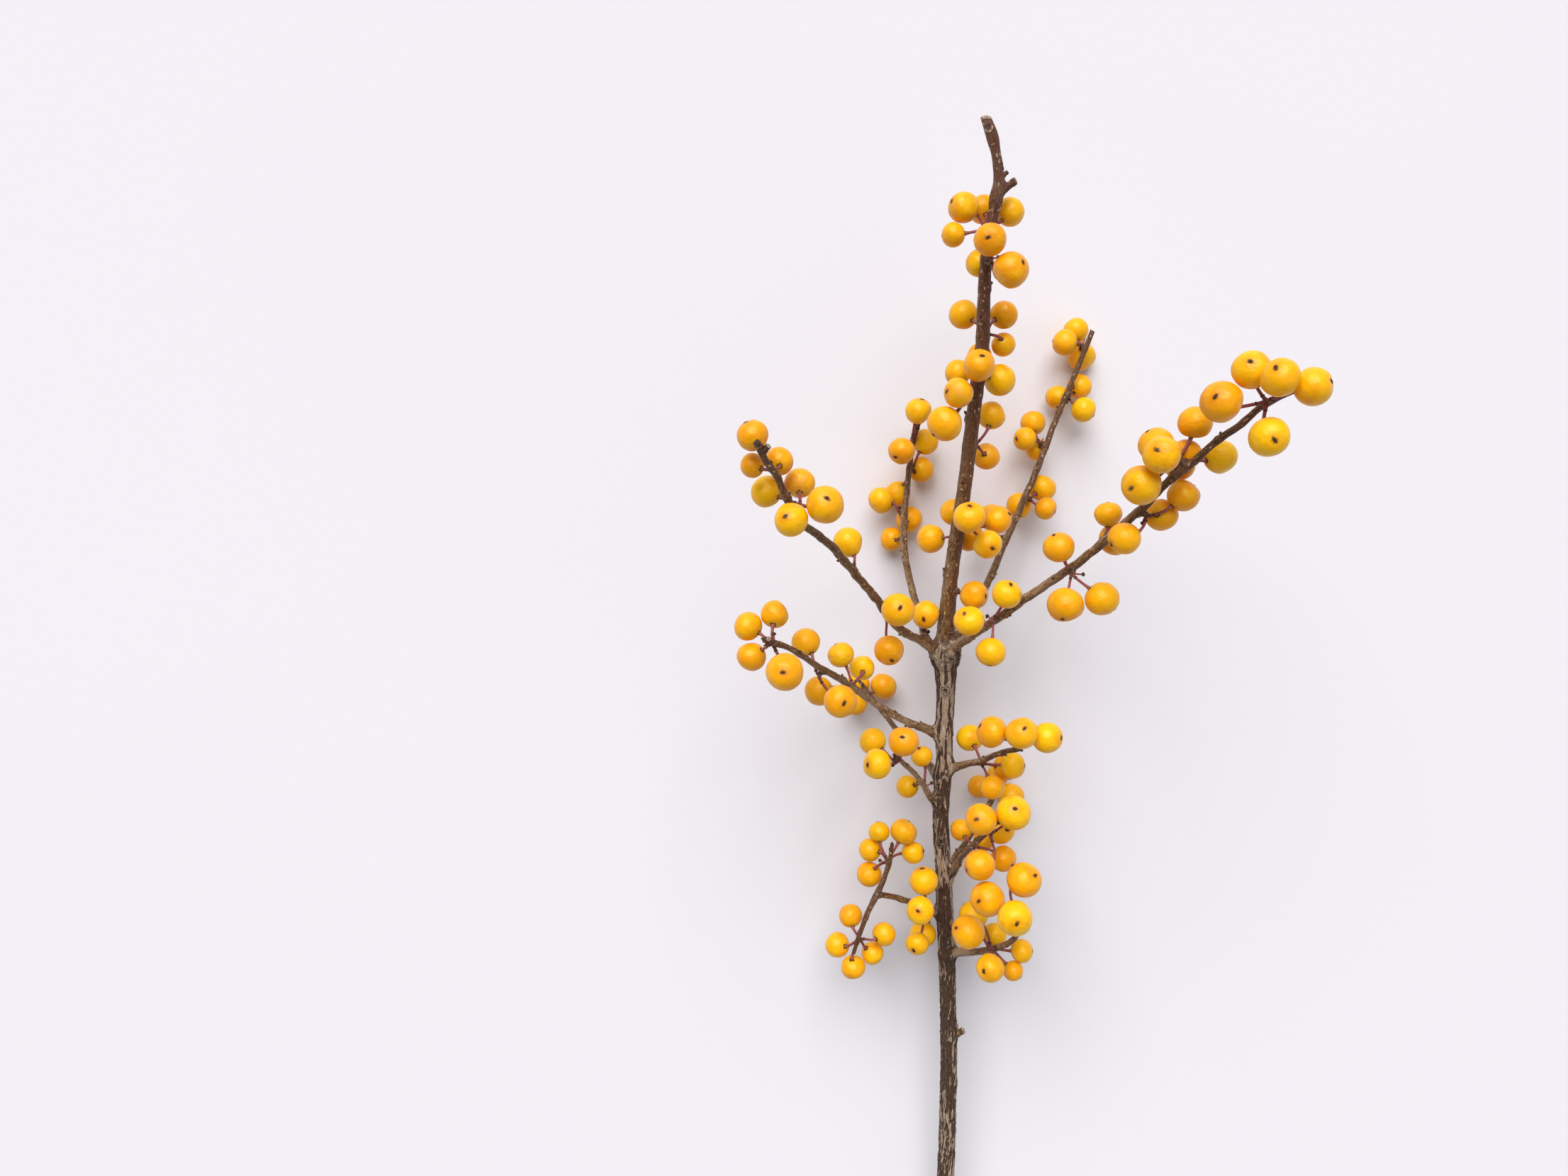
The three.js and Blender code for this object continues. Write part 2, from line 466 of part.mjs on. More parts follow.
// the shoots of the whorl start close together at the fork, so each is also
// cut clear of the ones before it
const whorl = ['left_front_shoot', 'right_shoot', 'back_left_shoot', 'back_right_shoot'];
const taken = [];
for (const name of whorl) {
  let solid = toSolid(taperedStem(WOOD[name], TWIG_SIDES, 1)).subtract(mainClearance);
  for (const other of taken) solid = solid.subtract(other);
  place(name, solid, barkYoung);
  taken.push(toSolid(taperedStem(WOOD[name], TWIG_SIDES, 1, { extraRadius: BARK_GAP + 0.05 })));
}

for (const name of ['left_middle_twig', 'right_middle_twig', 'left_small_twig', 'right_lower_twig',
  'right_bottom_twig', 'back_middle_twig', 'back_lower_twig']) {
  place(name, toSolid(taperedStem(WOOD[name], TWIG_SIDES, 1)).subtract(mainClearance), barkYoung);
}

// this twig forks in two
place('left_lower_twig', join([
  toSolid(taperedStem(WOOD.left_lower_twig, TWIG_SIDES, 1)),
  toSolid(taperedStem(WOOD.left_lower_up, TWIG_SIDES, 1)),
  toSolid(taperedStem(WOOD.left_lower_down, TWIG_SIDES, 1)),
]).subtract(mainClearance), barkYoung);

for (const [name, group] of Object.entries(CLUSTERS)) {
  const spur = vec(group.spur);
  const knob = new THREE.IcosahedronGeometry(SPUR_RADIUS, 0);
  knob.translate(spur.x, spur.y, spur.z);
  const parts = [toSolid(knob)];
  for (const [x, y, z, diameter, ax, ay, az] of group.berries) {
    const centre = new THREE.Vector3(x, y, z);
    const axis = new THREE.Vector3(ax, ay, az).normalize();
    const foot = centre.clone().addScaledVector(axis, -0.42 * diameter);
    parts.push(toSolid(berry(centre, diameter, axis)), toSolid(stalk(spur, foot)));
  }
  place(name, join(parts), berrySkin);
}

export default branch;
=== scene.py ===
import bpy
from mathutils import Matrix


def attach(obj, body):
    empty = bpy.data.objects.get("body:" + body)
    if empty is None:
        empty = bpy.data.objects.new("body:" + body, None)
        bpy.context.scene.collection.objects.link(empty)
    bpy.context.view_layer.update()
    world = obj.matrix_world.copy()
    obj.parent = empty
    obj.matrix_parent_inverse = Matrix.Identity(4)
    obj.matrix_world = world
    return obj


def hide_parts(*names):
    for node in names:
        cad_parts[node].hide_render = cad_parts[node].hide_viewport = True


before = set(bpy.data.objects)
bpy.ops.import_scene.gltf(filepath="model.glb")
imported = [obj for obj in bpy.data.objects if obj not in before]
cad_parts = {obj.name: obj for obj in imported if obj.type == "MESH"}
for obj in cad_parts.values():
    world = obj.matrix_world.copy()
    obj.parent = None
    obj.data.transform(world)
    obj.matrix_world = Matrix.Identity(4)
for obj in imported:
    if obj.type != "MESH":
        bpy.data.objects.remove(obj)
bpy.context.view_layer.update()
# A cut branch of yellow winterberry lying on a pale floor. The shapes below
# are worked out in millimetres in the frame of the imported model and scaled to
# metres when a mesh is made. The branch runs along Y, with its cut foot at -Y.
import math

import bpy
import numpy as np
from mathutils import Matrix

MM = 0.001

# ---------------------------------------------------------------------------
# Tables: the same numbers as in the model's source, in millimetres
# ---------------------------------------------------------------------------
# centre lines as [x, y, z, radius]
WOOD = {
    "main_stem": [
        [-5.8, -327.4, 3.8, 3.91], [-8.3, -257.4, 6.7, 3.79], [-7.8, -194.5, 10, 3.66],
        [-5.3, -132.6, 14, 3.51], [-1.9, -72.8, 18.7, 3.37], [-1.4, -18, 23.6, 3.25],
        [-2.9, 26.9, 26.9, 3.16], [-3.9, 43, 27.9, 3.13], [-4.8, 61.2, 29.5, 3.1],
        [-5.9, 74.9, 30.9, 3.08], [-6.5, 86.3, 32.1, 3.06], [-6, 96.2, 33.2, 3.08],
        [-5.5, 107.6, 34.4, 3.12], [-5.9, 119, 35.6, 3.17], [-5.7, 130.3, 36.8, 3.36],
        [-5.9, 141.2, 38, 3.74], [-6.2, 150, 38.5, 3.82], [-5.9, 172, 44.9, 2.64],
        [-4.9, 186.9, 49.8, 2.58], [-2.7, 209.3, 57.2, 2.5], [-1.4, 228.8, 63.4, 2.42],
        [-0.4, 243.9, 68.4, 2.37], [0.5, 258.3, 73.3, 2.27], [0, 270.2, 78, 2.16],
        [-0.1, 283.1, 81.8, 2.03], [1.6, 298.8, 85.8, 1.83], [2.7, 309.6, 87.5, 1.69],
        [0.5, 320.5, 89.2, 1.57], [-2.2, 327.9, 89.6, 1.51],
    ],
    "left_front_shoot": [
        [-6.3, 147, 38.8, 1.9], [-15.8, 154, 43.7, 1.55], [-25.2, 159.6, 53.1, 1.5],
        [-34.4, 170.9, 67.8, 1.43], [-42.7, 180.1, 81.3, 1.37], [-48.8, 187, 92.8, 1.31],
        [-55.4, 193.1, 103.1, 1.24], [-63, 198.6, 115.5, 1.17], [-66, 204.7, 123.8, 1.12],
        [-69, 210.8, 131.2, 1.07], [-72, 215, 136.5, 1.03], [-74.1, 219.5, 140.8, 1],
    ],
    "back_left_shoot": [
        [-6.8, 149.1, 38, 1.75], [-11.8, 152.5, 33.6, 1.49], [-15, 163.6, 28.3, 1.36],
        [-18.1, 175.9, 24, 1.3], [-19.7, 186.3, 20.7, 1.26], [-19.8, 197.3, 18.3, 1.22],
        [-18.3, 210.8, 16.2, 1.14], [-17.1, 221.9, 14.9, 1.06], [-15.4, 231.6, 14.5, 1],
        [-12.8, 239.6, 15, 0.95],
    ],
    "right_shoot": [
        [-5.8, 148, 38.9, 1.9], [-2.1, 152.7, 43.7, 1.62], [4.6, 158.7, 51.1, 1.49],
        [12.6, 166, 59.6, 1.47], [20.2, 173.3, 68.1, 1.45], [27.2, 179.9, 77.5, 1.43],
        [32.6, 185.4, 84.9, 1.41], [38, 192.3, 93.4, 1.38], [44.5, 200.5, 102.9, 1.29],
        [50.6, 209.3, 111.5, 1.2], [56.5, 216.2, 120, 1.12], [59.9, 220.9, 125.3, 1.07],
        [64.6, 225.3, 131.6, 1.02], [68.6, 230, 135.9, 0.97], [72.8, 232.9, 140.1, 0.93],
        [76.3, 234.6, 142.2, 0.9],
    ],
    "back_right_shoot": [
        [-5.8, 149.1, 38, 1.75], [2.7, 159.5, 32.1, 1.4], [11.7, 174.8, 26.6, 1.34],
        [20.7, 194.1, 22.3, 1.28], [30.7, 215.4, 18.6, 1.22], [38.7, 235.6, 16.4, 1.13],
        [46.7, 254.7, 15.1, 1.04], [53.8, 272.7, 15.2, 0.95],
    ],
    "left_middle_twig": [
        [-6.6, 117.3, 36.5, 1.8], [-10.9, 119.8, 40.6, 1.58], [-20.9, 124.7, 50.9, 1.32],
        [-30.8, 131.5, 62.3, 1.25], [-40.4, 139, 73.8, 1.19], [-48.2, 145.4, 83.2, 1.13],
        [-55.9, 150.7, 92.5, 1.03], [-64.8, 157.6, 102.9, 0.93], [-73, 161.3, 110.1, 0.85],
    ],
    "right_middle_twig": [
        [-5.6, 103.5, 35.6, 1.5], [-2.5, 105.8, 39.8, 1.34], [5.5, 110.6, 50.1, 1.08],
        [11.4, 115.4, 59.5, 0.95], [16.3, 118.6, 67.7, 0.85],
    ],
    "left_small_twig": [
        [-6.3, 90, 33.8, 1.3], [-10.5, 93.8, 39, 1.15], [-14.9, 100.4, 45.4, 1],
        [-20.5, 107.8, 52.9, 0.9], [-27.2, 114.6, 60.3, 0.8],
    ],
    "right_lower_twig": [
        [-4.9, 60.2, 30, 1.6], [-2.5, 65.2, 35.3, 1.42], [-0.6, 71.5, 41.7, 1.23],
        [1.2, 76.8, 48, 1.14], [4.9, 84.2, 56.5, 1.02], [9.1, 92.2, 65, 0.9],
    ],
    "right_bottom_twig": [
        [-3.3, 29, 28, 1.6], [-0.6, 31.8, 33.2, 1.46], [4.7, 35.2, 40.5, 1.28],
        [10.6, 39.7, 48.8, 1.16], [15.4, 44.9, 56.1, 1.05], [17.4, 51.4, 62.6, 0.95],
        [18.1, 59.5, 68.1, 0.85],
    ],
    "left_lower_twig": [
        [-4.3, 45, 28, 1.55], [-8.3, 46.8, 29.1, 1.33], [-13.7, 50.7, 32.4, 1.13],
        [-20.3, 53.7, 35.5, 1.08], [-26.6, 56.4, 38.7, 1.03], [-31.6, 57.7, 40.7, 1],
    ],
    "left_lower_up": [
        [-31.6, 57.7, 40.7, 1], [-29.2, 64.4, 43.2, 0.91], [-27.5, 70.2, 44.5, 0.84],
        [-26.6, 78.2, 46, 0.75],
    ],
    "left_lower_down": [
        [-31.6, 57.7, 40.7, 1], [-35.1, 50.8, 41.3, 0.92], [-37.7, 43.3, 40.8, 0.84],
        [-40.3, 34.5, 39.3, 0.75],
    ],
    "back_middle_twig": [
        [-6.9, 100.2, 33.9, 1.5], [-11.8, 105.6, 27.7, 1.28], [-19.3, 113, 21.2, 1.09],
        [-27.8, 123.4, 16.3, 0.97], [-36.3, 134.6, 13.4, 0.85],
    ],
    "back_lower_twig": [
        [-5.8, 58.4, 29.8, 1.5], [-0.8, 64.8, 24.2, 1.27], [6.7, 74, 19.8, 1.09],
        [14.7, 85.3, 16.5, 0.97], [20.7, 97.4, 14.8, 0.85],
    ],
}
# each group grows from its spur; a berry is [x, y, z, diameter, ax, ay, az], a the direction from its stalk to its far
# end, and squash is how long it is along a, for its width
CLUSTERS = {
    "berries_leader_1": {"spur": [-2.9, 172.2, 47.8], "berries": [
        [2, 171.5, 52.4, 10.3, 0.79, -0.06, 0.61],
    ], "squash": [0.98]},
    "berries_leader_2": {"spur": [-4.7, 192.6, 47.5], "berries": [
        [1.6, 192.2, 43.7, 10.6, 0.74, 0.08, -0.67],
        [-4.2, 201.6, 43.9, 10.1, -0.27, 0.9, -0.34],
        [-12.5, 191.7, 43.2, 10.7, -0.83, -0.08, -0.56],
    ], "squash": [0.97, 0.96, 0.98]},
    "berries_leader_3": {"spur": [-0.9, 196.2, 55.6], "berries": [
        [-2.5, 199.3, 68.3, 11.4, -0.1, 0.78, 0.62],
        [10.4, 198.7, 52.6, 10.2, 0.75, 0.42, 0.51],
        [5.5, 189.9, 59, 10.3, 0.21, -0.29, 0.93],
    ], "squash": [0.96, 0.97, 0.96]},
    "berries_leader_4": {"spur": [0.8, 225, 59.2], "berries": [
        [6.9, 235.6, 56.3, 10.1, 0.27, 0.86, -0.43],
        [6.5, 221.5, 50, 9.7, 0.37, -0.13, -0.92],
    ], "squash": [0.96, 0.94]},
    "berries_leader_5": {"spur": [-2.8, 241.1, 70.7], "berries": [
        [-1.7, 249.8, 80.1, 10.7, 0.05, 0.52, 0.85],
        [-7.9, 241.3, 76, 10.3, -0.9, 0.03, 0.43],
        [-12, 231.2, 72.4, 12.2, -0.71, -0.69, 0.14],
    ], "squash": [0.97, 0.96, 0.95]},
    "berries_leader_6": {"spur": [0.4, 248, 65.8], "berries": [
        [8.5, 247.1, 63.2, 10.9, 0.83, -0.14, -0.54],
        [1.3, 255.6, 61.8, 9.1, -0.14, 0.89, -0.44],
        [-5.9, 249.9, 61, 9.1, -0.71, 0.08, -0.7],
    ], "squash": [0.97, 1, 0.99]},
    "berries_leader_7": {"spur": [1.9, 261.7, 70.9], "berries": [
        [-4.6, 269.5, 63.9, 10.3, -0.56, 0.53, -0.64],
        [8.8, 268.9, 67, 9.7, 0.76, 0.46, -0.46],
        [9.5, 259.3, 63.3, 8.4, 0.34, -0.35, -0.87],
    ], "squash": [0.96, 0.95, 1]},
    "berries_leader_8": {"spur": [0.5, 284, 85.6], "berries": [
        [-1.4, 287.1, 96.1, 10.3, -0.32, -0.08, 0.94],
        [5.8, 278.2, 93.6, 11.6, 0.55, 0.28, 0.78],
    ], "squash": [0.95, 0.96]},
    "berries_leader_9": {"spur": [-0.1, 294, 81.4], "berries": [
        [-7.3, 301.7, 79.5, 10.2, -0.86, 0.3, 0.41],
        [-10.6, 292.9, 79.2, 8.2, -0.97, -0.05, -0.25],
        [0.3, 302.9, 72.8, 9.8, -0.1, 0.61, -0.79],
        [8.4, 300.6, 78.2, 9.7, 0.65, 0.69, -0.3],
        [-0.6, 285.1, 72.7, 9.9, -0.15, -0.7, -0.7],
    ], "squash": [1, 0.96, 0.92, 0.97, 0.93]},
    "berries_left_front_1": {"spur": [-30.9, 165.6, 65.2], "berries": [
        [-28, 168.1, 77.9, 11.4, 0.02, 0.19, 0.98],
        [-29.7, 152.8, 65, 10.7, 0.13, -0.68, 0.73],
    ], "squash": [0.96, 0.96]},
    "berries_left_front_2": {"spur": [-43.1, 182.3, 79.7], "berries": [
        [-45, 190.9, 75, 10.1, -0.38, 0.85, -0.37],
    ], "squash": [1]},
    "berries_left_front_3": {"spur": [-62.5, 202.5, 118.8], "berries": [
        [-64.8, 198.3, 128.3, 10.2, -0.36, 0.2, 0.91],
        [-54.9, 202.7, 129.4, 11.1, 0.06, 0.33, 0.94],
        [-62, 209.6, 110.1, 9.6, 0.03, 0.67, -0.74],
        [-72.1, 207, 112.4, 10, -0.78, 0.38, -0.5],
    ], "squash": [0.96, 1, 0.95, 0.96]},
    "berries_left_front_4": {"spur": [-70, 212.3, 129.5], "berries": [
        [-68.4, 215.8, 119, 8.7, -0.07, 0.39, -0.92],
        [-76.3, 214.3, 123.4, 7.4, -0.79, 0.3, -0.54],
        [-76, 222.5, 131.8, 9.2, -0.45, 0.86, 0.25],
    ], "squash": [0.98, 0.96, 0.98]},
    "berries_back_left_1": {"spur": [-13.5, 157.7, 34], "berries": [
        [-14.5, 163.8, 45.2, 10.5, -0.27, -0.28, 0.92],
    ], "squash": [0.98]},
    "berries_back_left_2": {"spur": [-20.8, 191.5, 16.9], "berries": [
        [-23.6, 191.2, 7.8, 9.6, -0.32, 0.06, -0.95],
    ], "squash": [0.97]},
    "berries_back_left_3": {"spur": [-20.6, 201.1, 15.3], "berries": [
        [-16.8, 199, 9.8, 10.7, 0.62, -0.4, -0.67],
        [-28.5, 206.5, 13.2, 10.4, -0.9, 0.23, -0.38],
    ], "squash": [0.92, 0.99]},
    "berries_back_left_4": {"spur": [-16.3, 218.7, 12.9], "berries": [
        [-21.2, 209.5, 5.9, 10.2, -0.45, -0.66, -0.6],
        [-12, 218.8, 7.6, 10.4, 0.63, 0.21, -0.75],
        [-10.5, 229.6, 10.4, 10.2, 0.52, 0.83, -0.2],
    ], "squash": [0.98, 0.95, 0.98]},
    "berries_back_left_5": {"spur": [-16.3, 230.8, 16.8], "berries": [
        [-21.5, 225.1, 25.1, 10.3, -0.58, -0.53, 0.62],
        [-15.1, 240.2, 25, 10.3, 0.22, 0.88, 0.42],
    ], "squash": [0.96, 0.98]},
    "berries_right_1": {"spur": [8.2, 163.4, 59.1], "berries": [
        [10.9, 172.7, 67.2, 10.3, 0.16, 0.77, 0.62],
        [-1.6, 163.1, 63.4, 11, -0.46, 0.6, 0.66],
        [6.4, 151.9, 62.7, 10.5, -0.15, -0.96, 0.25],
    ], "squash": [0.95, 0.93, 0.98]},
    "berries_right_2": {"spur": [29.2, 180.8, 83.3], "berries": [
        [26.1, 170.3, 88, 12.2, -0.29, -0.8, 0.52],
        [38.8, 172.3, 86.1, 11.3, 0.76, -0.63, 0.14],
        [23.9, 189.4, 87.1, 10.3, -0.43, 0.87, 0.25],
    ], "squash": [0.92, 0.98, 0.97]},
    "berries_right_3": {"spur": [38.3, 192.6, 89.9], "berries": [
        [43.5, 192, 84, 10.8, 0.55, -0.23, -0.8],
        [39.6, 200.3, 88.5, 9, 0.04, 0.99, -0.11],
    ], "squash": [0.99, 0.92]},
    "berries_right_4": {"spur": [47.3, 199.7, 103.5], "berries": [
        [57.7, 205.9, 106.9, 10.2, 0.74, 0.67, 0.01],
        [53.6, 199.9, 99.4, 10.3, 0.59, -0.01, -0.8],
        [39.9, 192.5, 105.4, 10.2, -0.9, -0.42, 0.1],
    ], "squash": [0.96, 0.95, 0.98]},
    "berries_right_5": {"spur": [52.4, 213.1, 111.9], "berries": [
        [57.9, 215.4, 102.4, 9.5, 0.75, -0.03, -0.67],
        [56.6, 218.4, 111.5, 9.5, 0.58, 0.76, -0.28],
        [46.9, 221.3, 112.8, 10.7, -0.56, 0.83, 0.07],
    ], "squash": [0.96, 0.95, 0.98]},
    "berries_right_6": {"spur": [53, 216, 117.2], "berries": [
        [57.6, 227.6, 116.1, 10.2, 0.26, 0.96, 0.03],
        [65.4, 217.3, 116.5, 10.1, 0.97, 0.21, -0.1],
        [44.6, 217.4, 125, 11.1, -0.57, 0.25, 0.78],
        [41.6, 208.8, 116, 12, -0.74, -0.19, 0.64],
    ], "squash": [0.98, 0.98, 0.97, 0.99]},
    "berries_right_7": {"spur": [69.1, 231.3, 139.8], "berries": [
        [55.8, 231.2, 140.8, 11.7, -0.61, 0.19, 0.77],
        [63.6, 240, 141.8, 10.8, -0.41, 0.35, 0.84],
        [67.4, 236.6, 151.4, 10.6, -0.55, 0.46, 0.7],
        [77.7, 234.5, 148.8, 10.7, 0.71, 0.2, 0.67],
        [67.6, 221, 145.3, 11, -0.12, -0.23, 0.96],
    ], "squash": [0.96, 0.94, 0.97, 0.96, 0.99]},
    "berries_back_right_1": {"spur": [17.5, 191.8, 21], "berries": [
        [13.5, 188.8, 15.4, 8.9, -0.56, -0.6, -0.57],
        [14.4, 199.7, 17.9, 10.6, -0.12, 0.86, -0.5],
    ], "squash": [0.99, 0.94]},
    "berries_back_right_2": {"spur": [29, 206.9, 18], "berries": [
        [35.1, 203.2, 20, 8.8, 0.83, -0.4, 0.39],
        [35.4, 211.4, 12.7, 10.9, 0.69, 0.47, -0.56],
        [26.7, 204.4, 10.9, 10.2, -0.18, -0.26, -0.95],
    ], "squash": [0.94, 0.95, 0.97]},
    "berries_back_right_3": {"spur": [33.9, 228.6, 15.5], "berries": [
        [33.8, 226.8, 9, 8.9, -0.16, -0.16, -0.97],
        [31.7, 236.8, 11.2, 9.8, -0.06, 0.8, -0.59],
        [27.3, 230.2, 17.1, 9.1, -0.89, 0, 0.46],
    ], "squash": [0.98, 1, 0.96]},
    "berries_back_right_4": {"spur": [44.9, 246.5, 13.4], "berries": [
        [50.8, 241.8, 14.4, 9.7, 0.81, -0.56, 0.2],
        [50.8, 251.7, 7.3, 9.8, 0.73, 0.11, -0.67],
        [42, 247.4, 7.9, 9.2, -0.4, 0.14, -0.91],
    ], "squash": [0.98, 0.97, 1]},
    "berries_back_right_5": {"spur": [50, 266.6, 13.1], "berries": [
        [52, 263.7, 5.5, 11, 0.23, -0.46, -0.86],
        [49.2, 273.7, 7.3, 9.8, -0.05, 0.89, -0.46],
        [43.3, 268.1, 13.4, 10.2, -0.96, 0.15, -0.22],
    ], "squash": [0.98, 0.99, 0.94]},
    "berries_left_middle_1": {"spur": [-42.8, 141.4, 73.5], "berries": [
        [-47.1, 152, 71.6, 9.3, -0.43, 0.9, -0.1],
        [-54.7, 139.5, 71.8, 10.3, -0.95, -0.25, -0.16],
        [-39.2, 146.5, 63.2, 9, -0.02, 0.28, -0.96],
    ], "squash": [0.93, 0.95, 0.97]},
    "berries_left_middle_2": {"spur": [-55.3, 147.4, 88.9], "berries": [
        [-48.5, 139.7, 96.7, 10.8, 0.19, 0.04, 0.98],
        [-59.5, 157.6, 83.4, 9.7, -0.4, 0.77, -0.49],
    ], "squash": [0.95, 0.97]},
    "berries_left_middle_3": {"spur": [-70.1, 159.4, 104.7], "berries": [
        [-66.6, 151.7, 114.9, 11.7, -0.12, 0.1, 0.99],
        [-78.3, 164.4, 99.4, 9.5, -0.81, 0.46, -0.38],
        [-77.2, 154.7, 99.6, 9.5, -0.76, -0.52, -0.4],
        [-69.7, 168.2, 98.4, 9.1, 0.14, 0.73, -0.67],
    ], "squash": [0.96, 0.92, 0.97, 0.98]},
    "berries_right_middle_1": {"spur": [5.8, 108.9, 46.4], "berries": [
        [3.7, 116.4, 36.5, 10.2, -0.21, 0.48, -0.85],
        [16.6, 106.5, 41.8, 10, 0.92, -0.17, -0.35],
        [10.4, 99.9, 46.1, 9.5, 0.38, -0.92, 0.12],
        [17, 109.1, 51.5, 9.7, 0.94, 0.02, 0.33],
    ], "squash": [0.95, 0.99, 0.95, 0.92]},
    "berries_right_middle_2": {"spur": [14.1, 119.9, 66.1], "berries": [
        [14.3, 125.8, 77.7, 11.1, 0, 0.47, 0.88],
        [5.5, 124.9, 70.8, 11.1, -0.87, 0.47, 0.12],
        [24.2, 123.4, 73.2, 10.7, 0.8, 0.11, 0.59],
    ], "squash": [0.98, 0.92, 0.98]},
    "berries_left_small_1": {"spur": [-13.8, 98.8, 40.8], "berries": [
        [-15, 110.2, 40.4, 8, -0.34, 0.91, 0.24],
        [-19.3, 96.5, 31.1, 8.7, -0.55, -0.35, -0.76],
    ], "squash": [0.96, 1]},
    "berries_left_small_2": {"spur": [-26.6, 112.4, 61.2], "berries": [
        [-25, 121.5, 69.8, 10.6, -0.2, 0.47, 0.86],
        [-34.4, 113.6, 70.2, 10.6, -0.75, 0.06, 0.66],
        [-34.5, 118.5, 53.9, 9.8, -0.63, 0.44, -0.64],
    ], "squash": [0.96, 0.93, 0.98]},
    "berries_right_lower_1": {"spur": [3.3, 77.5, 46.7], "berries": [
        [13.5, 75.1, 53.4, 9.7, 0.65, -0.37, 0.66],
        [12.9, 84.9, 50.4, 10.3, 0.34, 0.26, 0.91],
        [0.7, 81, 35.9, 8.4, -0.24, 0.43, -0.87],
        [9, 77.3, 37.1, 8.6, 0.96, 0.17, -0.22],
    ], "squash": [0.94, 0.99, 0.97, 0.94]},
    "berries_right_lower_2": {"spur": [6.9, 87.3, 63.2], "berries": [
        [13.3, 96.5, 70.9, 12.2, -0.09, 0.48, 0.87],
        [1.7, 94.7, 72.5, 11, -0.46, 0.23, 0.86],
        [2.3, 76.9, 67.1, 11, -0.92, -0.25, 0.31],
    ], "squash": [0.97, 0.95, 1]},
    "berries_right_bottom_1": {"spur": [10.6, 38.1, 44.2], "berries": [
        [5.3, 49, 39, 11.4, -0.64, 0.67, -0.37],
        [14.3, 39.5, 33.8, 9.5, 0.37, 0.8, -0.48],
        [21.7, 38.8, 48.3, 8.7, 0.97, 0.08, 0.24],
        [18.6, 31.1, 48, 7.6, 0.71, -0.65, 0.28],
    ], "squash": [0.99, 0.95, 0.94, 0.95]},
    "berries_right_bottom_2": {"spur": [9.7, 40.6, 51.8], "berries": [
        [0.7, 48.2, 54.3, 12.2, -0.84, 0.39, 0.37],
        [8.3, 36, 57.6, 10.3, -0.65, 0.05, 0.76],
    ], "squash": [0.97, 0.95]},
    "berries_right_bottom_3": {"spur": [15.8, 59, 67.1], "berries": [
        [5.2, 64.7, 67.3, 12.2, -0.68, 0.12, 0.73],
        [17.6, 72.3, 69.4, 12.2, 0.51, 0.49, 0.7],
        [12.2, 62.2, 79.8, 12.2, -0.05, 0, 1],
    ], "squash": [0.98, 0.99, 0.95]},
    "berries_left_lower_1": {"spur": [-12.7, 48.6, 33.9], "berries": [
        [-13.4, 61.4, 36, 11, -0.13, 0.98, 0.15],
        [-15.8, 53.2, 45.4, 10.5, -0.29, 0.26, 0.92],
        [-12.4, 37.7, 27.6, 10.3, -0.46, -0.87, 0.15],
        [-15.9, 37.4, 36.8, 9, -0.41, -0.39, 0.82],
    ], "squash": [0.96, 0.98, 0.97, 0.94]},
    "berries_left_lower_up_1": {"spur": [-27.6, 70.7, 42.3], "berries": [
        [-21.4, 81.2, 39, 10.2, 0.47, 0.84, -0.28],
        [-17.6, 72.6, 36.4, 8.9, 0.93, 0.2, 0.31],
        [-30.6, 80.7, 37.4, 8.1, -0.07, 0.94, -0.35],
        [-33.8, 73.1, 35.2, 8.6, -0.77, 0.01, -0.63],
        [-34, 63.5, 34.7, 9.6, -0.41, -0.69, -0.6],
    ], "squash": [0.93, 0.98, 0.96, 0.99, 0.97]},
    "berries_left_lower_down_1": {"spur": [-38, 39.6, 38.2], "berries": [
        [-40.8, 45.8, 29.9, 9.1, -0.15, 0.74, -0.65],
        [-46, 34.5, 30.4, 9.6, -0.66, -0.14, -0.74],
        [-32.4, 31.5, 31.4, 8.8, 0.63, -0.64, -0.44],
        [-40.2, 27.8, 36.2, 9.3, 0.15, -0.9, -0.41],
        [-28.3, 40.2, 34.7, 9, 0.78, 0.23, -0.58],
    ], "squash": [0.96, 0.97, 0.96, 0.95, 0.98]},
    "berries_back_middle_1": {"spur": [-32.7, 129.2, 12.3], "berries": [
        [-26.4, 131.8, 7.1, 10.9, 0.84, 0.39, -0.38],
        [-36.4, 132.7, 4.7, 9.3, -0.32, 0.43, -0.84],
        [-38, 125.4, 10.7, 9.5, -0.79, -0.57, -0.22],
    ], "squash": [0.96, 0.95, 0.99]},
    "berries_back_lower_1": {"spur": [18.2, 91.4, 13.2], "berries": [
        [24.5, 87.8, 11.4, 10.9, 0.92, -0.34, -0.21],
        [20.1, 96, 7.3, 9.1, 0.21, 0.66, -0.72],
        [12, 91.5, 9.3, 9.2, -0.79, 0.03, -0.61],
    ], "squash": [0.98, 0.96, 0.96]},
}
CAMERA = {"at": (-68.0, 196.6, 460.4), "look": (0.003336, -0.055178, -0.998471), "up": (0.000288, 0.998477, -0.055177)}

# Where each piece of wood ends, and what is at its end.
ENDS = {
    "main_stem": "torn", "left_front_shoot": "knobby", "back_left_shoot": "bud", "right_shoot": "bud",
    "back_right_shoot": "cut", "left_middle_twig": "knobby", "right_middle_twig": "bud",
    "left_small_twig": "bud", "right_lower_twig": "bud", "right_bottom_twig": "knobby",
    "left_lower_twig": "round", "left_lower_up": "bud", "left_lower_down": "cut",
    "back_middle_twig": "bud", "back_lower_twig": "cut",
}
PARENT = {"left_lower_up": "left_lower_twig", "left_lower_down": "left_lower_twig"}
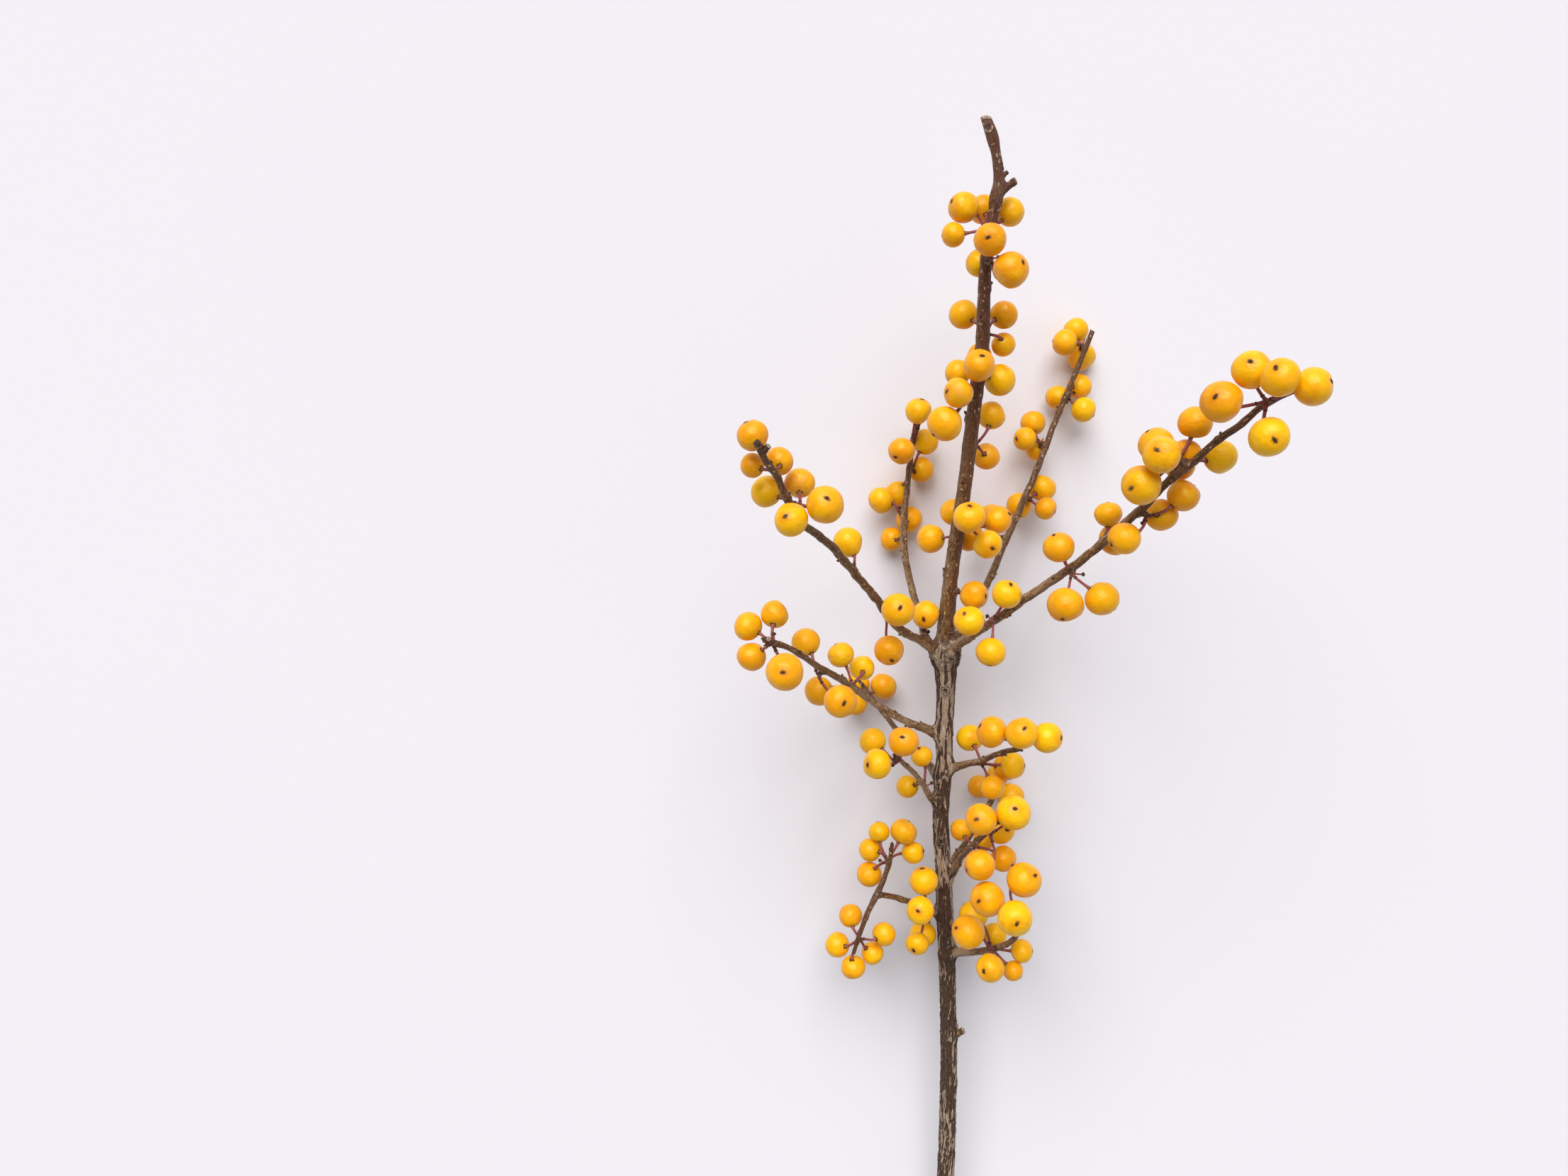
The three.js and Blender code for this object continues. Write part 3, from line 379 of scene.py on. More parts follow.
# how reddish (1) or olive and grey (0) the young bark is, at the start and at the end
TONE = {
    "main_stem": (0.5, 0.95), "left_front_shoot": (0.25, 0.75), "back_left_shoot": (0.0, 0.55),
    "right_shoot": (-0.2, 0.85), "back_right_shoot": (0.3, 0.8), "left_middle_twig": (-0.25, 0.6),
    "right_middle_twig": (0.2, 0.6), "left_small_twig": (-0.2, 0.3), "right_lower_twig": (0.2, 0.65),
    # left_lower_up and left_lower_down have a dark, red tone all along: partly their own bark colour and partly painted
    # shade
    "right_bottom_twig": (0.0, 0.6), "left_lower_twig": (-0.1, 0.5), "left_lower_up": (0.6, 0.75),
    "left_lower_down": (0.6, 0.75), "back_middle_twig": (0.2, 0.5), "back_lower_twig": (0.3, 0.6),
}
WHORL_Y = 149.0


# ---------------------------------------------------------------------------
# Noise
# ---------------------------------------------------------------------------
def scramble(x, y, z, seed):
    with np.errstate(over="ignore"):
        h = (x.astype(np.uint32) * np.uint32(0x8DA6B343)) ^ (y.astype(np.uint32) * np.uint32(0xD8163841)) \
            ^ (z.astype(np.uint32) * np.uint32(0xCB1AB31F)) ^ np.uint32((seed * 0x9E3779B1) & 0xFFFFFFFF)
        h = h ^ (h >> np.uint32(15))
        h = h * np.uint32(0x2C1B3C6D)
        h = h ^ (h >> np.uint32(12))
        h = h * np.uint32(0x297A2D39)
        return h ^ (h >> np.uint32(15))


def noise(points, seed=0):
    """Gradient noise from about -1 to 1 at points of shape (..., 3)."""
    shape = points.shape[:-1]
    p = points.reshape(-1, 3)
    cell = np.floor(p).astype(np.int64)
    f = p - cell
    u = f * f * f * (f * (f * 6 - 15) + 10)
    total = np.zeros(len(p))
    for dx in (0, 1):
        wx = u[:, 0] if dx else 1 - u[:, 0]
        for dy in (0, 1):
            wy = u[:, 1] if dy else 1 - u[:, 1]
            for dz in (0, 1):
                wz = u[:, 2] if dz else 1 - u[:, 2]
                h = scramble(cell[:, 0] + dx, cell[:, 1] + dy, cell[:, 2] + dz, seed)
                g = ((h & np.uint32(1023)) / 511.5 - 1) * (f[:, 0] - dx) \
                    + (((h >> np.uint32(10)) & np.uint32(1023)) / 511.5 - 1) * (f[:, 1] - dy) \
                    + (((h >> np.uint32(20)) & np.uint32(1023)) / 511.5 - 1) * (f[:, 2] - dz)
                total += wx * wy * wz * g
    return (total * 1.45).reshape(shape)


def smooth(lo, hi, x):
    t = np.clip((np.asarray(x, float) - lo) / (hi - lo), 0, 1)
    return t * t * (3 - 2 * t)


def unit(v):
    v = np.asarray(v, float)
    return v / np.linalg.norm(v, axis=-1, keepdims=True)


def frame_of(axis):
    """Two directions square to axis."""
    axis = unit(axis)
    helper = np.array([0.0, 0, 1]) if abs(axis[2]) < 0.8 else np.array([1.0, 0, 0])
    a = unit(np.cross(helper, axis))
    return a, np.cross(axis, a)


def name_seed(name):
    return sum((i + 1) * ord(c) for i, c in enumerate(name)) % 100003


# ---------------------------------------------------------------------------
# Meshes: a Part collects closed shells, each with its faces laid out flat in
# rectangles of real size, and packs the rectangles when the mesh is made
# ---------------------------------------------------------------------------
class Part:
    KEYS = ("bark", "berry", "seed", "eye")
    NUMBERS = ("age", "plate", "scar", "cut", "rad", "tone", "dark")

    def __init__(self, name, materials):
        self.name, self.materials = name, materials
        self.v, self.q, self.quv, self.qi, self.qm = [], [], [], [], []
        self.t, self.tuv, self.ti, self.tm = [], [], [], []
        self.attrs = {k: [] for k in self.KEYS + self.NUMBERS}
        self.rects, self.count = [], 0

    def add(self, verts, quads, quv, qi, tris, tuv, ti, rects, material, **attrs):
        n = len(verts)
        base_rect = len(self.rects)
        self.rects += list(rects)
        if len(quads):
            self.q.append(np.asarray(quads) + self.count)
            self.quv.append(np.asarray(quv, float))
            self.qi.append(np.asarray(qi) + base_rect)
            self.qm.append(np.full(len(quads), self.materials.index(material)))
        if len(tris):
            self.t.append(np.asarray(tris) + self.count)
            self.tuv.append(np.asarray(tuv, float))
            self.ti.append(np.asarray(ti) + base_rect)
            self.tm.append(np.full(len(tris), self.materials.index(material)))
        self.v.append(np.asarray(verts, float))
        for k in self.KEYS:
            value = attrs.get(k)
            self.attrs[k].append(np.zeros((n, 3)) if value is None else np.broadcast_to(value, (n, 3)))
        for k in self.NUMBERS:
            value = attrs.get(k)
            self.attrs[k].append(np.zeros(n) if value is None else np.broadcast_to(value, (n,)))
        self.count += n

    def pack(self, pad=0.35):
        sizes = np.array(self.rects, float) + 2 * pad
        order = np.argsort(-sizes[:, 1], kind="stable")
        width = max(sizes[:, 0].max(), math.sqrt((sizes[:, 0] * sizes[:, 1]).sum()) * 1.03)
        while True:
            at = np.zeros((len(sizes), 2))
            x = y = row = used = 0.0
            for i in order:
                w, h = sizes[i]
                if x + w > width + 1e-9:
                    x, y, row = 0.0, y + row, 0.0
                at[i] = x, y
                x += w
                row = max(row, h)
                used = max(used, x)
            if y + row <= width * 1.02:
                break
            width *= 1.02
        return at + pad, max(used, y + row)

    def make(self):
        verts = np.concatenate(self.v) * MM
        at, scale = self.pack()
        loops, uvs, starts, mats = [], [], [], []
        start = 0
        if self.q:
            q = np.concatenate(self.q)
            uv = np.concatenate(self.quv) + at[np.concatenate(self.qi)][:, None, :]
            loops.append(q.ravel())
            uvs.append(uv.reshape(-1, 2) / scale)
            starts.append(np.arange(len(q)) * 4)
            mats.append(np.concatenate(self.qm))
            start = len(q) * 4
        if self.t:
            t = np.concatenate(self.t)
            uv = np.concatenate(self.tuv) + at[np.concatenate(self.ti)][:, None, :]
            loops.append(t.ravel())
            uvs.append(uv.reshape(-1, 2) / scale)
            starts.append(start + np.arange(len(t)) * 3)
            mats.append(np.concatenate(self.tm))
        loops, uvs = np.concatenate(loops), np.concatenate(uvs)
        starts, mats = np.concatenate(starts), np.concatenate(mats)
        mesh = bpy.data.meshes.new(self.name)
        mesh.vertices.add(len(verts))
        mesh.vertices.foreach_set("co", verts.astype(np.float32).ravel())
        mesh.loops.add(len(loops))
        mesh.loops.foreach_set("vertex_index", loops.astype(np.int32))
        mesh.polygons.add(len(starts))
        mesh.polygons.foreach_set("loop_start", starts.astype(np.int32))
        mesh.polygons.foreach_set("material_index", mats.astype(np.int32))
        mesh.update(calc_edges=True)
        mesh.polygons.foreach_set("use_smooth", np.ones(len(starts), bool))
        layer = mesh.uv_layers.new(name="OFBake")
        layer.uv.foreach_set("vector", uvs.astype(np.float32).ravel())
        for k in self.KEYS:
            a = mesh.attributes.new(k, "FLOAT_VECTOR", "POINT")
            a.data.foreach_set("vector", np.concatenate(self.attrs[k]).astype(np.float32).ravel())
        for k in self.NUMBERS:
            a = mesh.attributes.new(k, "FLOAT", "POINT")
            a.data.foreach_set("value", np.concatenate(self.attrs[k]).astype(np.float32))
        for m in self.materials:
            mesh.materials.append(MATERIALS[m])
        if mesh.validate(verbose=False):
            print("mesh repaired:", self.name)
        mesh.update()
        obj = bpy.data.objects.new(self.name, mesh)
        bpy.context.scene.collection.objects.link(obj)
        return obj


def grid_faces(rings, sides):
    """Quads of a tube of rings x sides points, its points numbered ring by ring."""
    i, j = np.meshgrid(np.arange(rings - 1), np.arange(sides), indexing="ij")
    k = (j + 1) % sides
    return np.stack([i * sides + j, i * sides + k, (i + 1) * sides + k, (i + 1) * sides + j], -1).reshape(-1, 4), i.ravel(), j.ravel()


def add_tube(part, rings, material, s, girth, strip=60.0, start_cap=True, end_cap=True, cap_rings=(0.6,), **attrs):
    """A closed tube. rings is (n, sides, 3); s is each ring's length along it, girth its usual circumference.
    An end is closed by cap_rings and a middle point. attrs are (n, sides[, 3]) arrays or single values."""
    n, sides = rings.shape[:2]
    verts = [rings.reshape(-1, 3)]
    table = {k: np.broadcast_to(a, (n, sides, 3) if k in Part.KEYS else (n, sides)) for k, a in attrs.items()}
    full = {k: [a.reshape(n * sides, *a.shape[2:])] for k, a in table.items()}
    quads, qi_ring, qj = grid_faces(n, sides)
    strips = max(1, int(math.ceil((s[-1] - s[0]) / strip)))
    per = int(math.ceil((n - 1) / strips))
    which = qi_ring // per
    first = s[which * per]
    u0, u1 = qj * girth / sides, (qj + 1) * girth / sides
    v0, v1 = s[qi_ring] - first, s[qi_ring + 1] - first
    quv = np.stack([np.stack([u0, v0], -1), np.stack([u1, v0], -1), np.stack([u1, v1], -1), np.stack([u0, v1], -1)], 1)
    rects = [(girth, s[min((k + 1) * per, n - 1)] - s[k * per]) for k in range(which.max() + 1)]
    all_q, all_quv, all_qi = [quads], [quv], [which]
    tris, tuv, ti = [], [], []
    count = n * sides
    angle = np.arange(sides) * 2 * math.pi / sides
    disc = np.stack([np.cos(angle), np.sin(angle)], -1)
    for end, wanted in ((0, start_cap), (1, end_cap)):
        if not wanted:
            continue
        edge = np.arange(sides) + (n - 1) * sides * end
        outer = rings[-1 if end else 0]
        centre = outer.mean(0)
        radius = girth / (2 * math.pi)
        here = len(rects)
        rects.append((2 * radius, 2 * radius))
        rows, scales = [edge], [1.0]
        for k in cap_rings:
            verts.append(centre + (outer - centre) * k)
            rows.append(np.arange(sides) + count)
            scales.append(k)
            count += sides
        verts.append(centre[None])
        middle = count
        count += 1
        for a in full:
            row = table[a][-1 if end else 0]
            full[a] += [row] * len(cap_rings) + [row[:1]]
        nxt = (np.arange(sides) + 1) % sides
        for (ra, ka), (rb, kb) in zip(zip(rows, scales), zip(rows[1:], scales[1:])):
            corners = [ra, ra[nxt], rb[nxt], rb]
            flat = [radius + disc * radius * ka, radius + disc[nxt] * radius * ka, radius + disc[nxt] * radius * kb, radius + disc * radius * kb]
            if not end:
                corners, flat = corners[::-1], flat[::-1]
            all_q.append(np.stack(corners, -1))
            all_quv.append(np.stack(flat, 1))
            all_qi.append(np.full(sides, here))
        ra, ka = rows[-1], scales[-1]
        corners = [ra, ra[nxt], np.full(sides, middle)]
        flat = [radius + disc * radius * ka, radius + disc[nxt] * radius * ka, np.full((sides, 2), radius)]
        if not end:
            corners, flat = [corners[1], corners[0], corners[2]], [flat[1], flat[0], flat[2]]
        tris.append(np.stack(corners, -1))
        tuv.append(np.stack(flat, 1))
        ti.append(np.full(sides, here))
    part.add(np.concatenate(verts), np.concatenate(all_q), np.concatenate(all_quv), np.concatenate(all_qi),
             np.concatenate(tris) if tris else [], np.concatenate(tuv) if tris else [], np.concatenate(ti) if tris else [],
             rects, material, **{k: np.concatenate(v) for k, v in full.items()})


# ---------------------------------------------------------------------------
# Stems
# ---------------------------------------------------------------------------
def curve(rows, per_span=48):
    """Centripetal Catmull-Rom curve through the rows [x, y, z, radius]."""
    rows = np.array(rows, float)
    p, r = rows[:, :3], rows[:, 3]
    pts = np.vstack([2 * p[0] - p[1], p, 2 * p[-1] - p[-2]])
    out, rad = [], []
    for i in range(len(p) - 1):
        p0, p1, p2, p3 = pts[i:i + 4]
        d0, d1, d2 = (max(np.linalg.norm(b - a), 1e-6) ** 0.5 for a, b in ((p0, p1), (p1, p2), (p2, p3)))
        t1 = ((p1 - p0) / d0 - (p2 - p0) / (d0 + d1) + (p2 - p1) / d1) * d1
        t2 = ((p2 - p1) / d1 - (p3 - p1) / (d1 + d2) + (p3 - p2) / d2) * d1
        t = np.linspace(0, 1, per_span, endpoint=False)[:, None]
        c2, c3 = -3 * p1 + 3 * p2 - 2 * t1 - t2, 2 * p1 - 2 * p2 + t1 + t2
        out.append(p1 + t1 * t + c2 * t ** 2 + c3 * t ** 3)
        rad.append(r[i] + (r[i + 1] - r[i]) * t[:, 0])
    out.append(p[-1:])
    rad.append(r[-1:])
    return np.concatenate(out), np.concatenate(rad)


class Stem:
    def __init__(self, name, rows, step, sides, fine_from=0.0, wander=0.0):
        self.name, self.sides = name, sides
        self.seed = name_seed(name)
        c, r = curve(rows)
        dense = np.r_[0, np.cumsum(np.linalg.norm(np.diff(c, axis=0), axis=1))]
        total = dense[-1]
        self.s = np.linspace(fine_from, total, int(round((total - fine_from) / step)) + 1)
        if fine_from:
            self.s = np.r_[np.linspace(0, fine_from, int(round(fine_from / (step * 1.7))) + 1)[:-1], self.s]
        self.c = np.stack([np.interp(self.s, dense, c[:, k]) for k in range(3)], 1)
        self.r = np.interp(self.s, dense, r)
        if wander:               # a twig is never quite straight between its nodes
            along = np.stack([self.s / 7.5, 0 * self.s + self.seed % 13, 0 * self.s], -1)
            sway = np.stack([noise(along, self.seed + k) for k in range(3)], -1) + 0.45 * np.stack([noise(along * 2.3, self.seed + 7 + k) for k in range(3)], -1)
            fade = smooth(4, 12, self.s) * smooth(0, 5, total - self.s)
            self.c = self.c + sway * (wander * np.minimum(self.r, 2.0) / 1.7 * fade)[:, None]
        self.r = self.r * (1 + 0.055 * noise(np.stack([self.s / 4.5, 0 * self.s, 0 * self.s + self.seed % 17], -1), 55))
        self.tan = unit(np.gradient(self.c, self.s, axis=0))
        side = np.array([0.0, 0, 1])
        if abs(side @ self.tan[0]) > 0.9:
            side = np.array([1.0, 0, 0])
        self.n = np.zeros_like(self.c)
        for i, t in enumerate(self.tan):
            side = unit(side - (side @ t) * t)
            self.n[i] = side
        self.b = np.cross(self.tan, self.n)
        self.angle = np.arange(sides) * 2 * math.pi / sides
        shape = (len(self.s), sides)
        self.height = np.zeros(shape)
        # pale scar colour, and painted highlight on the crests of wrinkles, rings and pads
        self.scar = np.zeros(shape)
        # darker bark, and painted shade in creases, grooves, pits, hollows and ring troughs
        self.dark = np.zeros(shape)
        self.eyes = np.zeros(shape + (3,))      # along and round from a sleeping bud, in its own size
        self.bare = 0.0         # where the grey outer bark is missing
        self.cracks = 0.0       # single long cracks in it
        self.busy = []          # lengths along the stem that something grows from

    def locate(self, point):
        i = int(np.argmin(((self.c - np.asarray(point, float)) ** 2).sum(1)))
        d = np.asarray(point, float) - self.c[i]
        return self.s[i], math.atan2(d @ self.b[i], d @ self.n[i]), i

    def place(self, s, angle, out=0.0):
        """The point out above the bark at (s, angle), and the direction out of the stem there."""
        i = int(np.clip(np.searchsorted(self.s, s), 0, len(self.s) - 1))
        d = self.n[i] * math.cos(angle) + self.b[i] * math.sin(angle)
        return self.c[i] + d * (self.r[i] + out), d, i

    def window(self, s0, reach):
        lo, hi = np.searchsorted(self.s, [s0 - reach, s0 + reach])
        return slice(max(lo, 0), min(hi, len(self.s)))

    def around(self, s0, angle, reach):
        """Rows near s0, and how far their points are along and round the bark from (s0, angle)."""
        w = self.window(s0, reach)
        ds = self.s[w][:, None] - s0
        turn = (self.angle[None, :] - angle + math.pi) % (2 * math.pi) - math.pi
        return w, ds + 0 * turn, turn * self.r[w][:, None]

    def straight(self):
        """Coordinates along and round the bark, as if the stem were straight."""
        return np.stack([self.r[:, None] * np.cos(self.angle), self.r[:, None] * np.sin(self.angle),
                         np.broadcast_to(self.s[:, None], (len(self.s), self.sides))], -1)

    # things on the bark -----------------------------------------------------
    def leaf_scar(self, s0, angle, size=1.0):
        """The swelling of a node, with a small pale shield below it where a leaf stalk fell off."""
        w, ds, dt = self.around(s0, angle, 8)
        self.height[w] += 0.55 * size * np.exp(-((ds + 0.5) / (1.9 * size)) ** 2 - (dt / (1.5 * size)) ** 2)
        rho = np.hypot((ds + 1.7 * size) / (0.52 * size), dt / (0.80 * size))
        shield = smooth(1.3, 0.7, rho)
        self.height[w] += 0.18 * size * shield - 0.12 * size * smooth(0.75, 0.2, rho)
        self.scar[w] = np.maximum(self.scar[w], shield * 0.7)
        # a dark ring round the raised edge of the shield is painted shade
        self.dark[w] = np.maximum(self.dark[w], smooth(0.35, 0.0, abs(rho - 1.45)) * 0.6)
        # the node is a little thicker all round, with a faint ring under it
        self.height[w] += 0.13 * size * np.exp(-((ds + 0.4) / 1.5) ** 2) - 0.05 * size * np.exp(-((ds + 2.6) / 0.5) ** 2)
        self.busy.append(s0)

    def collar(self, s0, angle, radius, rise=0.6, wrinkles=0.12):
        """Bark drawn up round the foot of a side shoot, in rings, with painted shade in their troughs and painted
        highlight on their crests.
        """
        w, ds, dt = self.around(s0, angle, radius * 3 + 6)
        rho = np.hypot(ds * (0.8 - 0.15 * np.sign(ds)), dt)
        past = np.maximum(rho - radius, 0)
        fall = np.exp(-(past / 1.7) ** 2)
        self.height[w] += rise * fall
        uneven = noise(np.stack([ds, dt, ds * 0], -1) * 0.6, self.seed + 5)
        rings = np.cos(2 * math.pi * past / 1.05 + uneven * 2.2)
        self.height[w] += wrinkles * rings * np.exp(-past / 1.7) * smooth(0.0, 0.3, rho - radius * 0.6)
        # the troughs of the rings are painted dark as painted shade, and their crests pale as painted highlight
        self.dark[w] = np.maximum(self.dark[w], 0.6 * smooth(0.1, -0.9, rings) * np.exp(-past / 2.0) * smooth(-0.5, 0.3, uneven))
        self.scar[w] = np.maximum(self.scar[w], 0.3 * smooth(0.3, 0.9, rings) * np.exp(-past / 2.0) * smooth(0.5, -0.3, uneven))
        self.busy.append(s0)

    def eye(self, s0, angle, size=1.4):
        """A sleeping bud: rings of bark round a pit with a small knob in it; the pit and the troughs of the rings are
        painted dark as painted shade, the crests pale as painted highlight.
        """
        w, ds, dt = self.around(s0, angle, size * 5)
        rho = np.hypot(ds * 0.9, dt) / size
        near = (rho < 4.4)[..., None]
        self.eyes[w] = np.where(near, np.stack([ds * 0.9 / size, dt / size, 1 + 0 * ds], -1), self.eyes[w])
        self.height[w] += 0.42 * np.exp(-(rho / 1.5) ** 2) - 0.62 * np.exp(-(rho / 0.42) ** 2) + 0.3 * np.exp(-(rho / 0.16) ** 2)
        rings = np.cos(2 * math.pi * (rho - 0.15) / 0.62)
        self.height[w] += 0.11 * rings * np.exp(-((rho - 0.9) / 0.75) ** 2)
        # the pit and the troughs of the rings are painted dark as painted shade, the crests pale as painted highlight
        self.dark[w] = np.maximum(self.dark[w], np.exp(-(rho / 0.38) ** 2))
        self.dark[w] = np.maximum(self.dark[w], 0.6 * smooth(-0.1, -0.8, rings) * smooth(2.2, 1.4, rho))
        self.scar[w] = np.maximum(self.scar[w], 0.35 * smooth(0.3, 0.9, rings) * smooth(2.0, 1.2, rho) * smooth(0.3, 0.6, rho))

    def ring_scar(self, s0, rise=0.13, width=0.28, tilt=0.0, tilt_angle=0.0, pale=0.8):
        """A thin raised ring round the stem, where a year's growth stopped."""
        w = self.window(s0, 4 + abs(tilt))
        ds = self.s[w][:, None] - s0 - tilt * np.cos(self.angle[None, :] - tilt_angle)
        ds = ds + 0.18 * noise(np.stack([np.cos(self.angle) * 2, np.sin(self.angle) * 2, np.full(self.sides, s0)], -1), self.seed)[None, :]
        ring = np.exp(-(ds / width) ** 2)
        self.height[w] += rise * ring - 0.4 * rise * np.exp(-((abs(ds) - 2.2 * width) / width) ** 2)
        self.scar[w] = np.maximum(self.scar[w], pale * ring)


def fillet(stem, shoots, s_lo, s_hi, soft, cap, blend=0.0):
    """Raises the bark between s_lo and s_hi towards the shoots that leave there, so that they join it in rounded
    hollows: the bark moves out to the surface of a smooth union of the round stem and the round shoots."""
    lo, hi = np.searchsorted(stem.s, [s_lo, s_hi])
    w = slice(max(lo, 0), min(hi, len(stem.s)))
    d = stem.n[w][:, None] * np.cos(stem.angle)[None, :, None] + stem.b[w][:, None] * np.sin(stem.angle)[None, :, None]
    own = stem.r[w][:, None]
    h = np.zeros((d.shape[0], stem.sides))
    for _ in range(12):
        p = stem.c[w][:, None] + d * (own + h)[..., None]
        f = h.copy()
        for c, r in shoots:
            gap = ((p[:, :, None, :] - c[None, None]) ** 2).sum(-1)
            k = gap.argmin(-1)
            g = np.sqrt(np.take_along_axis(gap, k[..., None], -1)[..., 0]) - r[k]
            mix = np.clip(1 - abs(f - g) / soft, 0, 1)
            f = np.minimum(f, g) - mix ** 2 * soft / 4
        h = np.clip(h - 0.8 * f, 0, cap * 4)
    edge = np.clip(np.minimum(stem.s[w] - s_lo, s_hi - stem.s[w]) / 3.0, 0, 1)[:, None]
    stem.height[w] += cap * (1 - np.exp(-h / cap)) * edge * edge * (3 - 2 * edge)


def bark_relief(stem, age, coarse):
    """Height in mm and plate (0 in a crack, 1 on the grey outer bark) of old bark, and the young bark's fine relief."""
    q = stem.straight()
    seed = stem.seed
    warp = np.stack([noise(q * [0.3, 0.3, 0.1], seed + 1), noise(q * [0.3, 0.3, 0.1], seed + 2),
                     noise(q * [0.35, 0.35, 0.12], seed + 3) * 2.5], -1)
    p = q + warp * 0.7
    strands = 1 - abs(noise(p * [0.78, 0.78, 0.085], seed + 11)) * 3.0
    finer = 1 - abs(noise(p * [1.3, 1.3, 0.12] + 7.3, seed + 12)) * 2.7
    flakes = noise(p * [1.0, 1.0, 0.18], seed + 13)
    cover = noise(q * [0.16, 0.16, 0.035], seed + 14)
    net = np.maximum(strands, finer * 0.9) + 0.3 * flakes + 0.6 * cover
    plates = noise(p * [0.42, 0.42, 0.05] + 3.1, seed + 15) * 1.3 + 0.3 * flakes + 0.3 * cover
    net, plates = net - np.quantile(net, 0.62), plates - np.quantile(plates, 0.36)     # how much of the layer is left
    field = net * (1 - coarse) + plates * coarse
    plate = smooth(-0.42, 0.42, field - stem.bare) * (1 - stem.cracks)
    layer = smooth(0.35, 0.6, plate)
    lip = np.exp(-((plate - 0.5) / 0.16) ** 2)
    old = 0.26 * layer - 0.13 - 0.16 * stem.cracks + 0.05 * lip + 0.07 * noise(q * [1.5, 1.5, 0.5], seed + 16) + 0.10 * noise(q * [0.5, 0.5, 0.16], seed + 17)
    ribs = 1 - abs(noise(p * [0.8, 0.8, 0.07], seed + 21)) * 2.4
    young = 0.05 * noise(q * [0.9, 0.9, 0.12], seed + 18) + 0.07 * noise(q * [0.35, 0.35, 0.2], seed + 19) \
        + 0.035 * noise(q * [1.4, 1.4, 0.9], seed + 20) + 0.05 * np.clip(ribs, -0.5, 1)
    return old * age + young * (1 - age), plate


def skin(part, stem, age, coarse, tone, slope=0.0, high=0.0, end="cut", start="hidden"):
    """Turns a stem with all that is on its bark into a closed mesh."""
    relief, plate = bark_relief(stem, age, coarse)
    height = stem.height + relief * (1 - 0.7 * np.clip(stem.scar, 0, 1))
    s = stem.s
    length = s[-1]
    radius = stem.r[:, None] + height
    along = np.zeros((len(s), stem.sides))
    if start == "foot":      # the slanting cut: the same plane as in the model, eased out over 14 mm
        cut = slope * stem.r[0] * (1 - np.cos(stem.angle))
        along += (cut[None, :] * (1 - smooth(0, 14, s))[:, None])
        along[0] += 0.10 * noise(np.stack([np.cos(stem.angle) * 3, np.sin(stem.angle) * 3, stem.angle * 0], -1), 5)
    if end in ("torn", "cut"):
        tilt, direction = (0.55, high) if end == "torn" else (0.35, stem.seed % 7)
        near = smooth(length - 5, length, s)[:, None]
        along += near * (np.cos(stem.angle - direction)[None, :] - 1) * tilt * stem.r[-1]
        along[-1] += 0.14 * noise(np.stack([np.cos(stem.angle) * 2.6, np.sin(stem.angle) * 2.6, stem.angle * 0 + 3], -1), stem.seed) - 0.05
    else:                    # rounds off under the end bud
        left = np.clip((length - s) / 1.6, 0, 1)
        radius = radius * np.sqrt(np.clip(1 - (1 - left) ** 2 * 0.8, 0, 1))[:, None]
    c = stem.c[:, None, :] + stem.tan[:, None, :] * along[..., None]
    rings = c + radius[..., None] * (stem.n[:, None, :] * np.cos(stem.angle)[None, :, None]
                                     + stem.b[:, None, :] * np.sin(stem.angle)[None, :, None])
    q = stem.straight() + np.array([0, 0, (stem.seed % 97) * 13.7])
    add_tube(part, rings, "bark", s, 2 * math.pi * float(np.percentile(stem.r, 60)), strip=110 if length > 400 else 58,
             start_cap=start != "foot", end_cap=end not in ("torn", "cut"), cap_rings=(0.6,),
             bark=q, age=age, plate=plate, scar=np.clip(stem.scar, 0, 1), tone=np.broadcast_to(tone, radius.shape),
             dark=np.clip(stem.dark, 0, 1), eye=stem.eyes)
    for which in (0, 1):
        if (which == 0 and start == "foot") or (which == 1 and end in ("torn", "cut")):
            close_with_wood(part, rings[-1 if which else 0], stem.tan[-1] if which else -stem.tan[0],
                            float(stem.r[-1 if which else 0]), which, stem.seed)


